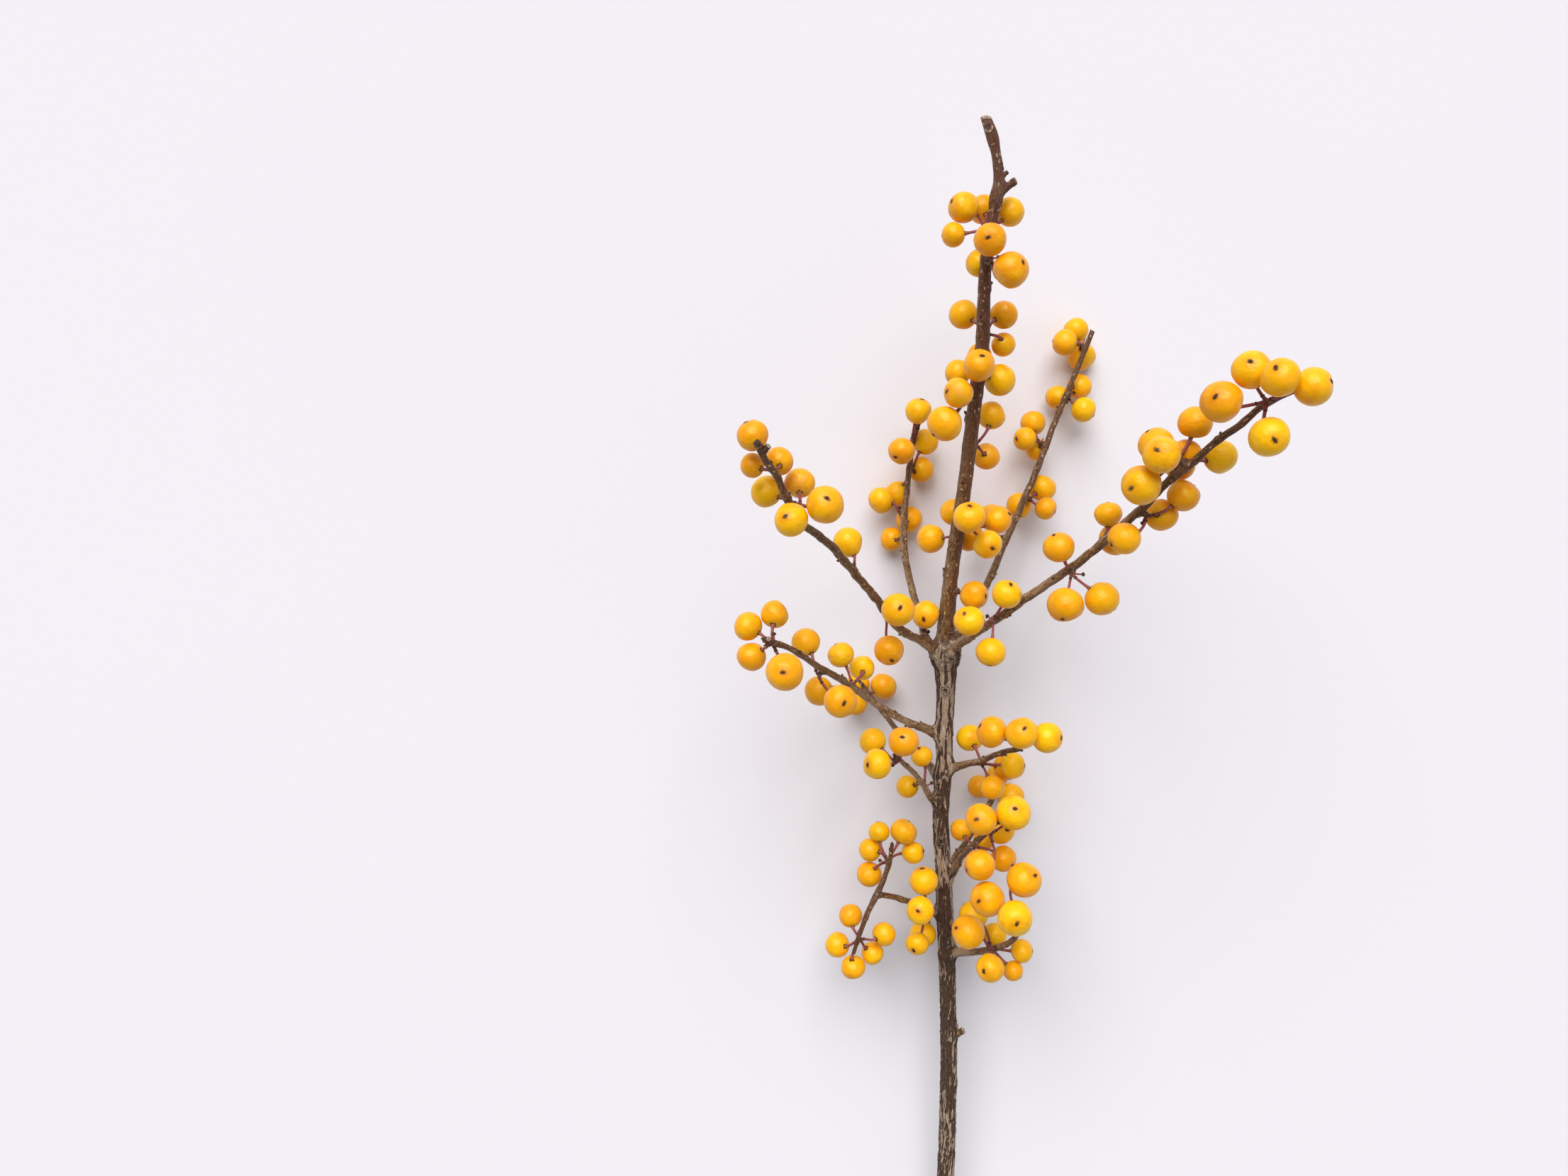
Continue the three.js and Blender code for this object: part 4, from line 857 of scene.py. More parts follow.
def close_with_wood(part, outer, out, radius, reverse, seed):
    """The cut face: bark rim, wood with growth rings, and pith, slightly hollowed and rough."""
    sides = len(outer)
    centre = outer.mean(0)
    shares = [1.0, 0.95, 0.9, 0.87, 0.78, 0.66, 0.54, 0.42, 0.3, 0.2, 0.12]
    if radius < 2.2:
        shares = [1.0, 0.93, 0.86, 0.7, 0.5, 0.3, 0.15]
    angle = np.arange(sides) * 2 * math.pi / sides
    verts, rad = [], []
    for k in shares:
        p = centre + (outer - centre) * k
        rough = noise(np.stack([np.cos(angle) * k * 3, np.sin(angle) * k * 3, angle * 0 + seed % 50], -1), 31)
        step = -0.16 * smooth(0.93, 0.86, k) - 0.22 * smooth(0.22, 0.1, k) * (radius > 2)
        p = p + out * ((step + 0.05 * rough * (k < 0.99)) * min(radius / 2.5, 1.2))[:, None]
        verts.append(p)
        rad.append(np.full(sides, k))
    middle = verts[-1].mean(0) - out * 0.03
    n = len(shares)
    quads, ri, ji = grid_faces(n, sides)
    disc = np.stack([np.cos(angle), np.sin(angle)], -1)
    scale = np.array(shares)
    nj = (ji + 1) % sides
    flat = [radius + disc[ji] * radius * scale[ri][:, None], radius + disc[nj] * radius * scale[ri][:, None],
            radius + disc[nj] * radius * scale[ri + 1][:, None], radius + disc[ji] * radius * scale[ri + 1][:, None]]
    quv = np.stack(flat, 1)
    last = (n - 1) * sides
    j = np.arange(sides)
    k = (j + 1) % sides
    tris = np.stack([last + j, last + k, np.full(sides, n * sides)], -1)
    tuv = np.stack([radius + disc * radius * scale[-1], radius + disc[k] * radius * scale[-1], np.full((sides, 2), radius)], 1)
    if not reverse:
        quads, quv, tris, tuv = quads[:, ::-1], quv[:, ::-1], tris[:, [1, 0, 2]], tuv[:, [1, 0, 2]]
    points = np.concatenate(verts + [middle[None]])
    flat_xy = np.concatenate([disc * k * radius for k in shares] + [np.zeros((1, 2))])
    part.add(points, quads, quv, np.zeros(len(quads), int), tris, tuv, np.zeros(len(tris), int), [(2 * radius, 2 * radius)],
             "bark", bark=np.c_[flat_xy, np.full(len(points), seed % 91)], cut=1.0, rad=np.concatenate(rad + [np.zeros(1)]),
             age=1.0 if radius > 2.2 else 0.3)


def weld(part):
    """Joins points that lie on each other, so that a cut face and its stem are one closed shell."""
    verts = np.concatenate(part.v)
    keys = np.round(verts * 2e3).astype(np.int64)
    _, first, inverse = np.unique(keys, axis=0, return_index=True, return_inverse=True)
    inverse = inverse.ravel()
    if len(first) == len(verts):
        return
    order = np.argsort(first)
    rank = np.empty(len(first), int)
    rank[order] = np.arange(len(first))
    keep = first[order]
    new = rank[inverse]
    part.v = [verts[keep]]
    for k in part.attrs:
        part.attrs[k] = [np.concatenate(part.attrs[k])[keep]]
    part.q = [new[np.concatenate(part.q)]] if part.q else []
    part.t = [new[np.concatenate(part.t)]] if part.t else []
    part.count = len(keep)


# ---------------------------------------------------------------------------
# Small shapes on the wood
# ---------------------------------------------------------------------------
def add_lathe(part, material, base, axis, profile, sides=10, lumps=0.06, seed=0, squash=1.0, **attrs):
    """A closed solid of revolution, a little uneven: profile is [(along, radius)], closed at both ends."""
    a, b = frame_of(axis)
    axis = unit(axis)
    base = np.asarray(base, float)
    angle = np.arange(sides) * 2 * math.pi / sides
    prof = np.array(profile, float)
    ring = np.cos(angle)[:, None] * a + np.sin(angle)[:, None] * b * squash
    uneven = 1 + lumps * noise(np.stack([np.cos(angle)[None, :] * 1.3 + prof[:, :1] * 0, np.sin(angle)[None, :] * 1.3 + prof[:, :1] * 0,
                                         prof[:, :1] * 1.1 + 0 * angle[None, :]], -1), seed)
    rings = base + axis * prof[:, 0][:, None, None] + ring[None] * (prof[:, 1][:, None] * uneven)[..., None]
    s = np.r_[0, np.cumsum(np.hypot(np.diff(prof[:, 0]), np.diff(prof[:, 1])) + 1e-4)]
    q = np.stack([np.broadcast_to(np.cos(angle), (len(prof), sides)), np.broadcast_to(np.sin(angle), (len(prof), sides)),
                  np.broadcast_to(s[:, None], (len(prof), sides))], -1) + (seed % 89) * 1.7
    attrs = dict(attrs)
    attrs.setdefault("bark", q)
    add_tube(part, rings, material, s, 2 * math.pi * max(prof[:, 1].max(), 0.1) * 0.9, cap_rings=(0.5,), **attrs)


def add_bud(part, base, axis, size, seed, tone=0.6):
    """A small dry bud: a pointed body in two or three overlapping scales with paler edges."""
    axis = unit(axis)
    k = size
    body = [(-0.5 * k, 0.42 * k), (0.0, 0.55 * k), (0.25 * k, 0.6 * k), (0.6 * k, 0.55 * k), (1.0 * k, 0.38 * k), (1.3 * k, 0.18 * k), (1.42 * k, 0.05 * k)]
    add_lathe(part, "bark", base, axis, body, 10, 0.22, seed, age=0.0, tone=tone, dark=0.25)
    a, b = frame_of(axis)
    rng = np.random.default_rng(seed)
    turn = rng.uniform(0, 6.28)
    for i in range(3):
        d = a * math.cos(turn + i * 2.3) + b * math.sin(turn + i * 2.3)
        start = np.asarray(base) + d * 0.42 * k + axis * (0.05 + 0.2 * i) * k
        scale = [(0.0, 0.08 * k), (0.12 * k, 0.34 * k), (0.4 * k, 0.36 * k), (0.62 * k, 0.22 * k), (0.78 * k, 0.04 * k)]
        add_lathe(part, "bark", start, axis * 0.9 - d * 0.28, scale, 8, 0.1, seed + i, squash=0.6, age=0.0, tone=tone, scar=0.35, dark=0.1)


def add_stub(part, base, axis, radius, length, seed, tone=0.5, pale=1.0, sides=14):
    """What is left of a shoot that was cut off: a short ringed peg with a pale end."""
    prof = [(-1.6, radius * 1.35), (-0.5, radius * 1.45), (0.1, radius * 1.25), (0.5, radius * 1.32), (0.9, radius * 1.1),
            (length * 0.6, radius * 1.02), (length * 0.8, radius * 1.08), (length * 0.93, radius * 1.12), (length, radius * 0.98), (length + 0.05, radius * 0.7)]
    add_lathe(part, "bark", base, axis, prof, sides, 0.12, seed, age=0.25, tone=tone,
              scar=np.array([0, 0, 0, 0.1, 0, 0, 0, 0.4 * pale, pale, pale])[:, None] * np.ones(sides))


def add_cut_shoot(part, path, radii, seed, tone):
    """The foot of a shoot that was cut off near the stem, with its pale cut face."""
    path = np.asarray(path, float)
    tan = unit(np.gradient(path, axis=0))
    a, _ = frame_of(tan[0])
    n = []
    for t in tan:
        a = unit(a - (a @ t) * t)
        n.append(a)
    n = np.array(n)
    b = np.cross(tan, n)
    sides = 22
    angle = np.arange(sides) * 2 * math.pi / sides
    s = np.r_[0, np.cumsum(np.linalg.norm(np.diff(path, axis=0), axis=1))]
    q = np.stack([radii[:, None] * np.cos(angle), radii[:, None] * np.sin(angle), s[:, None] + 0 * angle[None]], -1)
    rad = radii[:, None] * (1 + 0.05 * noise(q * 1.1, seed)) + 0.06 * noise(q * [2, 2, 0.5], seed + 1)
    tip = smooth(s[-1] - 1.6, s[-1], s)[:, None]
    along = tip * 0.35 * (np.cos(angle - 1.0)[None] - 0.4)
    rings = path[:, None] + tan[:, None] * along[..., None] + rad[..., None] * (n[:, None] * np.cos(angle)[None, :, None] + b[:, None] * np.sin(angle)[None, :, None])
    add_tube(part, rings, "bark", s, 2 * math.pi * float(radii.mean()), end_cap=False, bark=q + 7.7, age=0.0, tone=tone,
             scar=0.9 * smooth(s[-1] - 0.7, s[-1] - 0.1, s)[:, None] * np.ones((1, sides)))
    close_with_wood(part, rings[-1], tan[-1], float(radii[-1]), 1, seed)


def bezier(p0, p1, p2, p3, n):
    t = np.linspace(0, 1, n)[:, None]
    return (1 - t) ** 3 * p0 + 3 * (1 - t) ** 2 * t * p1 + 3 * (1 - t) * t ** 2 * p2 + t ** 3 * p3


def add_stalk(part, material, path, radii, sides=8, seed=0, **attrs):
    path = np.asarray(path, float)
    tan = unit(np.gradient(path, axis=0))
    a, _ = frame_of(tan[0])
    frames = []
    for t in tan:
        a = unit(a - (a @ t) * t)
        frames.append(a)
    n = np.array(frames)
    b = np.cross(tan, n)
    angle = np.arange(sides) * 2 * math.pi / sides
    rad = np.asarray(radii)[:, None] * (1 + 0.07 * noise(np.stack([np.cos(angle)[None] + 0 * path[:, :1], np.sin(angle)[None] + 0 * path[:, :1],
                                                                   np.arange(len(path))[:, None] * 0.6 + 0 * angle[None]], -1), seed))
    rings = path[:, None] + rad[..., None] * (n[:, None] * np.cos(angle)[None, :, None] + b[:, None] * np.sin(angle)[None, :, None])
    s = np.r_[0, np.cumsum(np.linalg.norm(np.diff(path, axis=0), axis=1))]
    along = np.broadcast_to((s / s[-1])[:, None], rad.shape)
    q = np.stack([np.cos(angle)[None] * rad, np.sin(angle)[None] * rad, s[:, None] + 0 * rad], -1) + (seed % 83) * 2.3
    add_tube(part, rings, material, s, 2 * math.pi * float(np.mean(radii)), cap_rings=(0.5,), rad=along, bark=q, **attrs)


# ---------------------------------------------------------------------------
# Berries
# ---------------------------------------------------------------------------
def ball(n):
    """A sphere of six n x n squares: unit points, quads, and each quad's corners in its square (0 to 1)."""
    index, points, quads, uv, which = {}, [], [], [], []
    t = np.tan((np.linspace(-1, 1, n + 1)) * math.pi / 4)
    faces = [((1, 0, 0), (0, 1, 0), (0, 0, 1)), ((0, 1, 0), (1, 0, 0), (0, 0, -1)), ((0, 1, 0), (0, 0, 1), (1, 0, 0)),
             ((0, 0, 1), (0, 1, 0), (-1, 0, 0)), ((0, 0, 1), (1, 0, 0), (0, 1, 0)), ((1, 0, 0), (0, 0, 1), (0, -1, 0))]
    for f, (u, v, w) in enumerate(faces):
        u, v, w = (np.array(x, float) for x in (u, v, w))
        ids = np.zeros((n + 1, n + 1), int)
        for i in range(n + 1):
            for j in range(n + 1):
                p = unit(w + u * t[i] + v * t[j])
                key = tuple(np.round(p, 6) + 0.0)
                if key not in index:
                    index[key] = len(points)
                    points.append(p)
                ids[i, j] = index[key]
        for i in range(n):
            for j in range(n):
                quads.append((ids[i, j], ids[i + 1, j], ids[i + 1, j + 1], ids[i, j + 1]))
                uv.append([(i / n, j / n), ((i + 1) / n, j / n), ((i + 1) / n, (j + 1) / n), (i / n, (j + 1) / n)])
                which.append(f)
    points = np.array(points)
    quads = np.array(quads)
    a, b, c = (points[quads[:, k]] for k in range(3))
    outward = (np.cross(b - a, c - b) * a).sum(1) > 0
    quads[~outward] = quads[~outward][:, ::-1]
    uv = np.array(uv)
    uv[~outward] = uv[~outward][:, ::-1]
    return points, quads, uv, np.array(which)


BALL = ball(12)


def add_berry(part, centre, diameter, axis, squash, seed):
    """One berry. axis points from its stalk to the scar of its flower. Returns where the stalk meets it."""
    rng = np.random.default_rng(seed)
    points, quads, uv, which = BALL
    r = diameter / 2
    axis = unit(axis)
    a, b = frame_of(axis)
    turn = rng.uniform(0, 2 * math.pi)
    a, b = a * math.cos(turn) + b * math.sin(turn), b * math.cos(turn) - a * math.sin(turn)
    local = points.copy()
    shift = rng.uniform(-50, 50, 3)
    size = 1 + 0.040 * noise(local * 0.8 + shift, 41) + 0.014 * noise(local * 2.1 + shift, 42)
    # a few are flattened on one side, where they ripened against a neighbour
    for _ in range(2):
        if rng.random() < 0.42:
            d = unit(rng.normal(size=3))
            depth = rng.uniform(0.035, 0.09)
            size -= depth * smooth(0.62, 1.0, local @ d)
    p = local * size[:, None]
    # some narrow towards the stalk
    pear = max(0.0, rng.normal(0.02, 0.35)) if rng.random() < 0.4 else 0.0
    pear = min(pear, 0.8)
    back = smooth(0.1, 1.0, -local[:, 2])
    p[:, 2] -= 0.085 * pear * back
    p[:, :2] *= (1 - 0.16 * pear * smooth(0.0, 1.0, -local[:, 2]))[:, None]
    p[:, 2] *= squash
    rho = np.hypot(local[:, 0], local[:, 1])
    low = local[:, 2] < 0
    p[:, 2] += np.where(low, (0.045 if pear < 0.1 else 0.012) * np.exp(-(rho / 0.26) ** 2), 0)
    # the scar of the flower: a slight pucker round a small rough spot
    long, short = rng.uniform(0.80, 1.10), rng.uniform(0.46, 0.70)
    pucker = rng.uniform(0.012, 0.045)
    ex = np.hypot(local[:, 0] * r / (long + 0.35), local[:, 1] * r / (short + 0.35))
    p[:, 2] -= np.where(low, 0, 0.012 * np.exp(-((ex - 1) / 0.5) ** 2) + pucker * smooth(3.4, 0.0, ex))
    world = np.asarray(centre) + r * (p[:, :1] * a + p[:, 1:2] * b + p[:, 2:] * axis)
    side = math.pi * r / 2
    corner = uv * side
    one = rng.random(3)
    part.add(world, quads, corner, which, [], [], [], [(side, side)] * 6, "skin",
             berry=local * r, seed=one)
    top = float(p[np.argmax(local[:, 2]), 2]) * r
    bottom = float(p[np.argmin(local[:, 2]), 2]) * r
    # the dry scar itself, a ragged lens that stands just proud of the skin
    sides, rows = 14, [(0.0, -0.35), (1.0, -0.12), (1.0, 0.02), (0.82, 0.11), (0.55, 0.12), (0.28, 0.03)]
    angle = np.arange(sides) * 2 * math.pi / sides
    ragged = 1 + 0.26 * noise(np.stack([np.cos(angle) * 1.9, np.sin(angle) * 1.9, angle * 0 + seed % 61], -1), 43)
    rings = []
    for k, (share, up) in enumerate(rows):
        if k == 0:
            share = 0.7
        x, y = np.cos(angle) * long * 0.86 * share * ragged, np.sin(angle) * short * 0.86 * share * ragged
        bend = (x ** 2 + y ** 2) / (2 * r)
        rings.append(np.asarray(centre) + x[:, None] * a + y[:, None] * b + (top - bend + up * 0.62)[:, None] * axis)
    add_tube(part, np.array(rings), "scar", np.array([0, 0.35, 0.5, 0.7, 0.95, 1.2]), 5.0, cap_rings=(0.4,),
             bark=np.array([seed % 71, seed % 37, seed % 53], float), seed=one,
             rad=np.broadcast_to(np.array([1, 1, 1, 0.8, 0.5, 0.2])[:, None], (6, sides)))
    return np.asarray(centre) + bottom * axis, a, b, rng


def add_calyx(part, at, axis, a, b, r, rng, seed):
    """The small dry star left of the flower, between the stalk and the berry."""
    sides = 20
    angle = np.arange(sides) * 2 * math.pi / sides
    lobes = 5 if rng.random() < 0.5 else 4
    star = 0.62 + 0.38 * np.abs(np.cos(angle * lobes / 2 + rng.uniform(0, 3))) ** 1.3
    star = star * (1 + 0.15 * noise(np.stack([np.cos(angle) * 2, np.sin(angle) * 2, angle * 0], -1), seed))
    wide = rng.uniform(0.95, 1.25)
    rings = []
    for share, up in ((0.35, -0.25), (0.75, -0.02), (1.0, 0.05), (0.97, 0.15), (0.65, 0.2), (0.35, 0.32)):
        rr = wide * share * (star if share > 0.6 else 0.8)
        x, y = np.cos(angle) * rr, np.sin(angle) * rr
        bend = (x ** 2 + y ** 2) / (2 * r) * 1.1
        rings.append(np.asarray(at) + x[:, None] * a + y[:, None] * b + (bend - up)[:, None] * axis)
    rings = np.array(rings)[::-1]
    add_tube(part, rings, "dry", np.array([0, 0.3, 0.65, 0.8, 0.95, 1.3]), 6.0, cap_rings=(0.4,), bark=np.array([seed % 31, 1.0, 2.0]))


# ---------------------------------------------------------------------------
# Materials
# ---------------------------------------------------------------------------
def colour(r, g, b):
    """A colour given as 0-255 sRGB numbers."""
    def linear(c):
        c /= 255
        return c / 12.92 if c <= 0.04045 else ((c + 0.055) / 1.055) ** 2.4
    return linear(r), linear(g), linear(b), 1.0


class Shader:
    def __init__(self, name):
        self.material = bpy.data.materials.new(name)
        self.material.use_nodes = True
        self.tree = self.material.node_tree
        self.tree.nodes.clear()
        out = self.add("ShaderNodeOutputMaterial")
        self.bsdf = self.add("ShaderNodeBsdfPrincipled")
        self.tree.links.new(self.bsdf.outputs[0], out.inputs[0])

    def add(self, kind, **props):
        node = self.tree.nodes.new(kind)
        for k, v in props.items():
            setattr(node, k, v)
        return node

    def put(self, socket, value):
        if isinstance(value, bpy.types.NodeSocket):
            self.tree.links.new(value, socket)
        else:
            socket.default_value = value

    def set(self, **values):
        for k, v in values.items():
            self.put(self.bsdf.inputs[k.replace("_", " ")], v)

    def math(self, op, a, b=0.0, clamp=False):
        n = self.add("ShaderNodeMath", operation=op, use_clamp=clamp)
        self.put(n.inputs[0], a)
        self.put(n.inputs[1], b)
        return n.outputs[0]

    def vec(self, op, a, b=(0, 0, 0), c=(0, 0, 0)):
        n = self.add("ShaderNodeVectorMath", operation=op)
        self.put(n.inputs[0], a)
        if op not in ("NORMALIZE", "LENGTH"):
            self.put(n.inputs[1], b)
        if op == "MULTIPLY_ADD":
            self.put(n.inputs[2], c)
        return n.outputs["Value"] if op in ("LENGTH", "DOT_PRODUCT", "DISTANCE") else n.outputs[0]

    def split(self, v):
        n = self.add("ShaderNodeSeparateXYZ")
        self.put(n.inputs[0], v)
        return n.outputs

    def step(self, x, lo, hi, to_lo=0.0, to_hi=1.0):
        n = self.add("ShaderNodeMapRange", interpolation_type="SMOOTHSTEP", clamp=True)
        for i, value in enumerate((x, lo, hi, to_lo, to_hi)):
            self.put(n.inputs[i], value)
        return n.outputs[0]

    def mix(self, f, a, b, blend="MIX"):
        n = self.add("ShaderNodeMix", data_type="RGBA", blend_type=blend, clamp_factor=True)
        self.put(n.inputs[0], f)
        self.put(n.inputs[6], a)
        self.put(n.inputs[7], b)
        return n.outputs[2]

    def noise(self, v, scale, detail=2.0, rough=0.5, warp=0.0):
        n = self.add("ShaderNodeTexNoise", noise_dimensions="3D")
        self.put(n.inputs["Vector"], v)
        n.inputs["Scale"].default_value = scale
        n.inputs["Detail"].default_value = detail
        n.inputs["Roughness"].default_value = rough
        n.inputs["Distortion"].default_value = warp
        return n.outputs[0]

    def warp(self, v, scale, amount):
        """Coordinates pushed about by a smooth noise."""
        n = self.add("ShaderNodeTexNoise", noise_dimensions="3D")
        self.put(n.inputs["Vector"], v)
        n.inputs["Scale"].default_value = scale
        n.inputs["Detail"].default_value = 1.0
        return self.vec("MULTIPLY_ADD", self.vec("SUBTRACT", n.outputs["Color"], (0.5, 0.5, 0.5)), (amount, amount, amount), v)

    def cells(self, v, scale, feature="F1", loose=1.0):
        n = self.add("ShaderNodeTexVoronoi", feature=feature)
        self.put(n.inputs["Vector"], v)
        n.inputs["Scale"].default_value = scale
        n.inputs["Randomness"].default_value = loose
        return n.outputs

    def attr(self, name, what="Fac"):
        return self.add("ShaderNodeAttribute", attribute_name=name).outputs[what]

    def ramp(self, x, *stops):
        n = self.add("ShaderNodeValToRGB")
        e = n.color_ramp.elements
        e[0].position, e[0].color = stops[0]
        e[1].position, e[1].color = stops[-1]
        for at, c in stops[1:-1]:
            e.new(at).color = c
        self.put(n.inputs[0], x)
        return n.outputs[0]

    def bump(self, height, distance, strength=1.0, normal=None):
        n = self.add("ShaderNodeBump")
        self.put(n.inputs["Height"], height)
        n.inputs["Distance"].default_value = distance
        n.inputs["Strength"].default_value = strength
        if normal is not None:
            self.put(n.inputs["Normal"], normal)
        return n.outputs[0]


def berry_skin():
    g = Shader("berry_skin")
    p = g.attr("berry", "Vector")
    seed = g.attr("seed", "Vector")
    sx, sy, sz = g.split(seed)
    v = g.vec("MULTIPLY_ADD", seed, (91.0, 57.0, 73.0), p)
    px, py, pz = g.split(g.vec("NORMALIZE", p))
    base = g.ramp(sx, (0.0, colour(249, 191, 2)), (0.3, colour(246, 177, 0)), (0.7, colour(243, 167, 0)), (1.0, colour(236, 152, 0)))
    broad = g.noise(v, 0.17, 2.0)
    base = g.mix(g.step(broad, 0.46, 0.74, 0.0, 0.4), base, colour(251, 198, 6))
    deep = g.noise(g.vec("ADD", v, (40.0, 0.0, 0.0)), 0.14, 2.0, 0.5, 0.4)
    base = g.mix(g.step(deep, 0.5, 0.78, 0.0, 0.6), base, colour(226, 130, 0))
    # a warmer, deeper tint round the flower's scar and paler towards the stalk
    base = g.mix(g.step(pz, 0.80, 1.0, 0.0, 0.35), base, colour(230, 138, 3))
    base = g.mix(g.step(pz, -0.70, -1.0, 0.0, 0.35), base, colour(232, 176, 22))
    # bruises: watery brownish patches with a soft edge, on a few berries only
    spot = g.noise(g.vec("ADD", v, (0.0, 33.0, 0.0)), 0.19, 2.5, 0.4, 0.25)
    limit = g.step(sy, 0.84, 0.96, 0.80, 0.565)
    over = g.math("SUBTRACT", spot, limit)
    bruise = g.step(over, -0.01, 0.075)
    brown = g.mix(g.noise(v, 0.8, 2.0), colour(212, 132, 26), colour(236, 178, 74))
    base = g.mix(g.math("MULTIPLY", bruise, 0.58), base, brown)
    rim = g.math("MULTIPLY", g.step(g.math("ABSOLUTE", g.math("SUBTRACT", over, 0.028)), 0.026, 0.0), 0.22)
    base = g.mix(rim, base, colour(184, 108, 22))
    # fine mottling, pin-prick pores and specks, closer together near the stalk
    fine = g.noise(v, 2.6, 3.0, 0.6)
    base = g.mix(g.step(fine, 0.3, 0.75, 0.0, 0.14), base, colour(255, 212, 34))
    pin = g.cells(v, 2.3)
    pins = g.step(pin["Distance"], 0.16, 0.05)
    base = g.mix(g.math("MULTIPLY", pins, 0.16), base, colour(214, 140, 20))
    dots = g.cells(v, 0.95)
    chosen = g.step(g.split(dots["Color"])[0], 0.66, 0.70)
    dot = g.math("MULTIPLY", g.step(dots["Distance"], 0.10, 0.04), chosen)
    near = g.cells(g.vec("ADD", v, (0.0, 0.0, 21.0)), 2.1)
    speck = g.math("MULTIPLY", g.step(near["Distance"], 0.26, 0.12), g.step(pz, -0.78, -0.9))
    speck = g.math("MULTIPLY", speck, g.step(g.split(near["Color"])[0], 0.45, 0.5))
    base = g.mix(g.math("MULTIPLY", dot, 0.5), base, colour(160, 100, 26))
    base = g.mix(g.math("MULTIPLY", speck, 0.8), base, colour(98, 62, 26))
    # the brown edge of the flower's scar
    ex = g.vec("LENGTH", g.vec("MULTIPLY", p, (1 / 0.98, 1 / 0.64, 0.0)))
    wobble = g.math("MULTIPLY", g.math("SUBTRACT", g.noise(v, 1.9, 3.0), 0.5), 1.5)
    edge = g.math("MULTIPLY", g.step(g.math("ADD", ex, wobble), 1.5, 0.95), g.step(pz, 0.5, 0.7))
    base = g.mix(g.math("MULTIPLY", edge, 0.8), base, colour(136, 82, 24))
    halo = g.math("MULTIPLY", g.step(g.math("ADD", ex, wobble), 3.6, 1.1), g.step(pz, 0.5, 0.7))
    base = g.mix(g.math("MULTIPLY", halo, g.step(sz, 0.3, 1.0, 0.06, 0.45)), base, colour(208, 124, 14))
    rough = g.math("ADD", g.step(fine, 0.25, 0.8, 0.33, 0.43), g.math("MULTIPLY", bruise, 0.10))
    height = g.math("ADD", g.math("MULTIPLY", g.noise(v, 0.7, 2.0), 1.0), g.math("MULTIPLY", fine, 0.10))
    height = g.math("SUBTRACT", height, g.math("MULTIPLY", g.math("ADD", g.math("ADD", dot, speck), g.math("MULTIPLY", pins, 0.3)), 0.12))
    g.set(Base_Color=base, Roughness=rough, Normal=g.bump(height, 0.00020))
    g.set(Subsurface_Weight=0.18, Subsurface_Scale=0.0022, Subsurface_Radius=(1.0, 0.45, 0.05))
    g.set(Specular_IOR_Level=0.52, Specular_Tint=(1.0, 0.92, 0.52, 1.0), Coat_Weight=0.02, Coat_Roughness=0.2)
    return g.material


def flower_scar():
    g = Shader("flower_scar")
    seed = g.attr("seed", "Vector")
    sx, sy, sz = g.split(seed)
    where = g.add("ShaderNodeTexCoord").outputs["Object"]
    n = g.noise(where, 2600.0, 3.0, 0.6)
    base = g.mix(g.step(n, 0.3, 0.7), colour(44, 25, 13), colour(106, 68, 34))
    base = g.mix(g.step(sy, 0.80, 0.84, 0.0, 0.6), base, colour(122, 100, 62))
    centre = g.step(g.attr("rad"), 0.8, 0.35)
    base = g.mix(g.math("MULTIPLY", centre, 0.55), base, colour(26, 16, 10))
    g.set(Base_Color=base, Roughness=g.step(n, 0.2, 0.8, 0.62, 0.9), Normal=g.bump(n, 0.00012))
    g.set(Specular_IOR_Level=0.3)
    return g.material


def stalk_skin():
    g = Shader("stalk_skin")
    v = g.attr("bark", "Vector")
    along = g.attr("rad")
    n = g.noise(g.vec("MULTIPLY", v, (1.0, 1.0, 0.3)), 3.2, 3.0, 0.6)
    spread = g.noise(v, 0.5, 2.0)
    base = g.ramp(g.math("ADD", along, g.math("MULTIPLY", g.math("SUBTRACT", spread, 0.5), 0.5)),
                  (0.0, colour(100, 62, 50)), (0.2, colour(128, 60, 62)), (0.65, colour(150, 72, 80)), (1.0, colour(158, 96, 66)))
    base = g.mix(g.step(n, 0.38, 0.75, 0.0, 0.45), base, colour(82, 44, 42))
    warts = g.cells(g.vec("MULTIPLY", v, (1.0, 1.0, 0.6)), 1.7)
    wart = g.step(warts["Distance"], 0.2, 0.1)
    base = g.mix(g.math("MULTIPLY", wart, 0.5), base, colour(186, 144, 118))
    g.set(Base_Color=base, Roughness=g.step(n, 0.2, 0.8, 0.46, 0.62), Normal=g.bump(g.math("ADD", n, g.math("MULTIPLY", wart, 0.6)), 0.00008))
    g.set(Specular_IOR_Level=0.4)
    return g.material


def dry_skin():
    g = Shader("dry_skin")
    where = g.add("ShaderNodeTexCoord").outputs["Object"]
    n = g.noise(where, 1900.0, 4.0, 0.65)
    base = g.mix(g.step(n, 0.32, 0.7), colour(34, 24, 17), colour(98, 74, 48))
    g.set(Base_Color=base, Roughness=g.step(n, 0.2, 0.8, 0.72, 0.95), Normal=g.bump(n, 0.0001))
    g.set(Specular_IOR_Level=0.25)
    return g.material


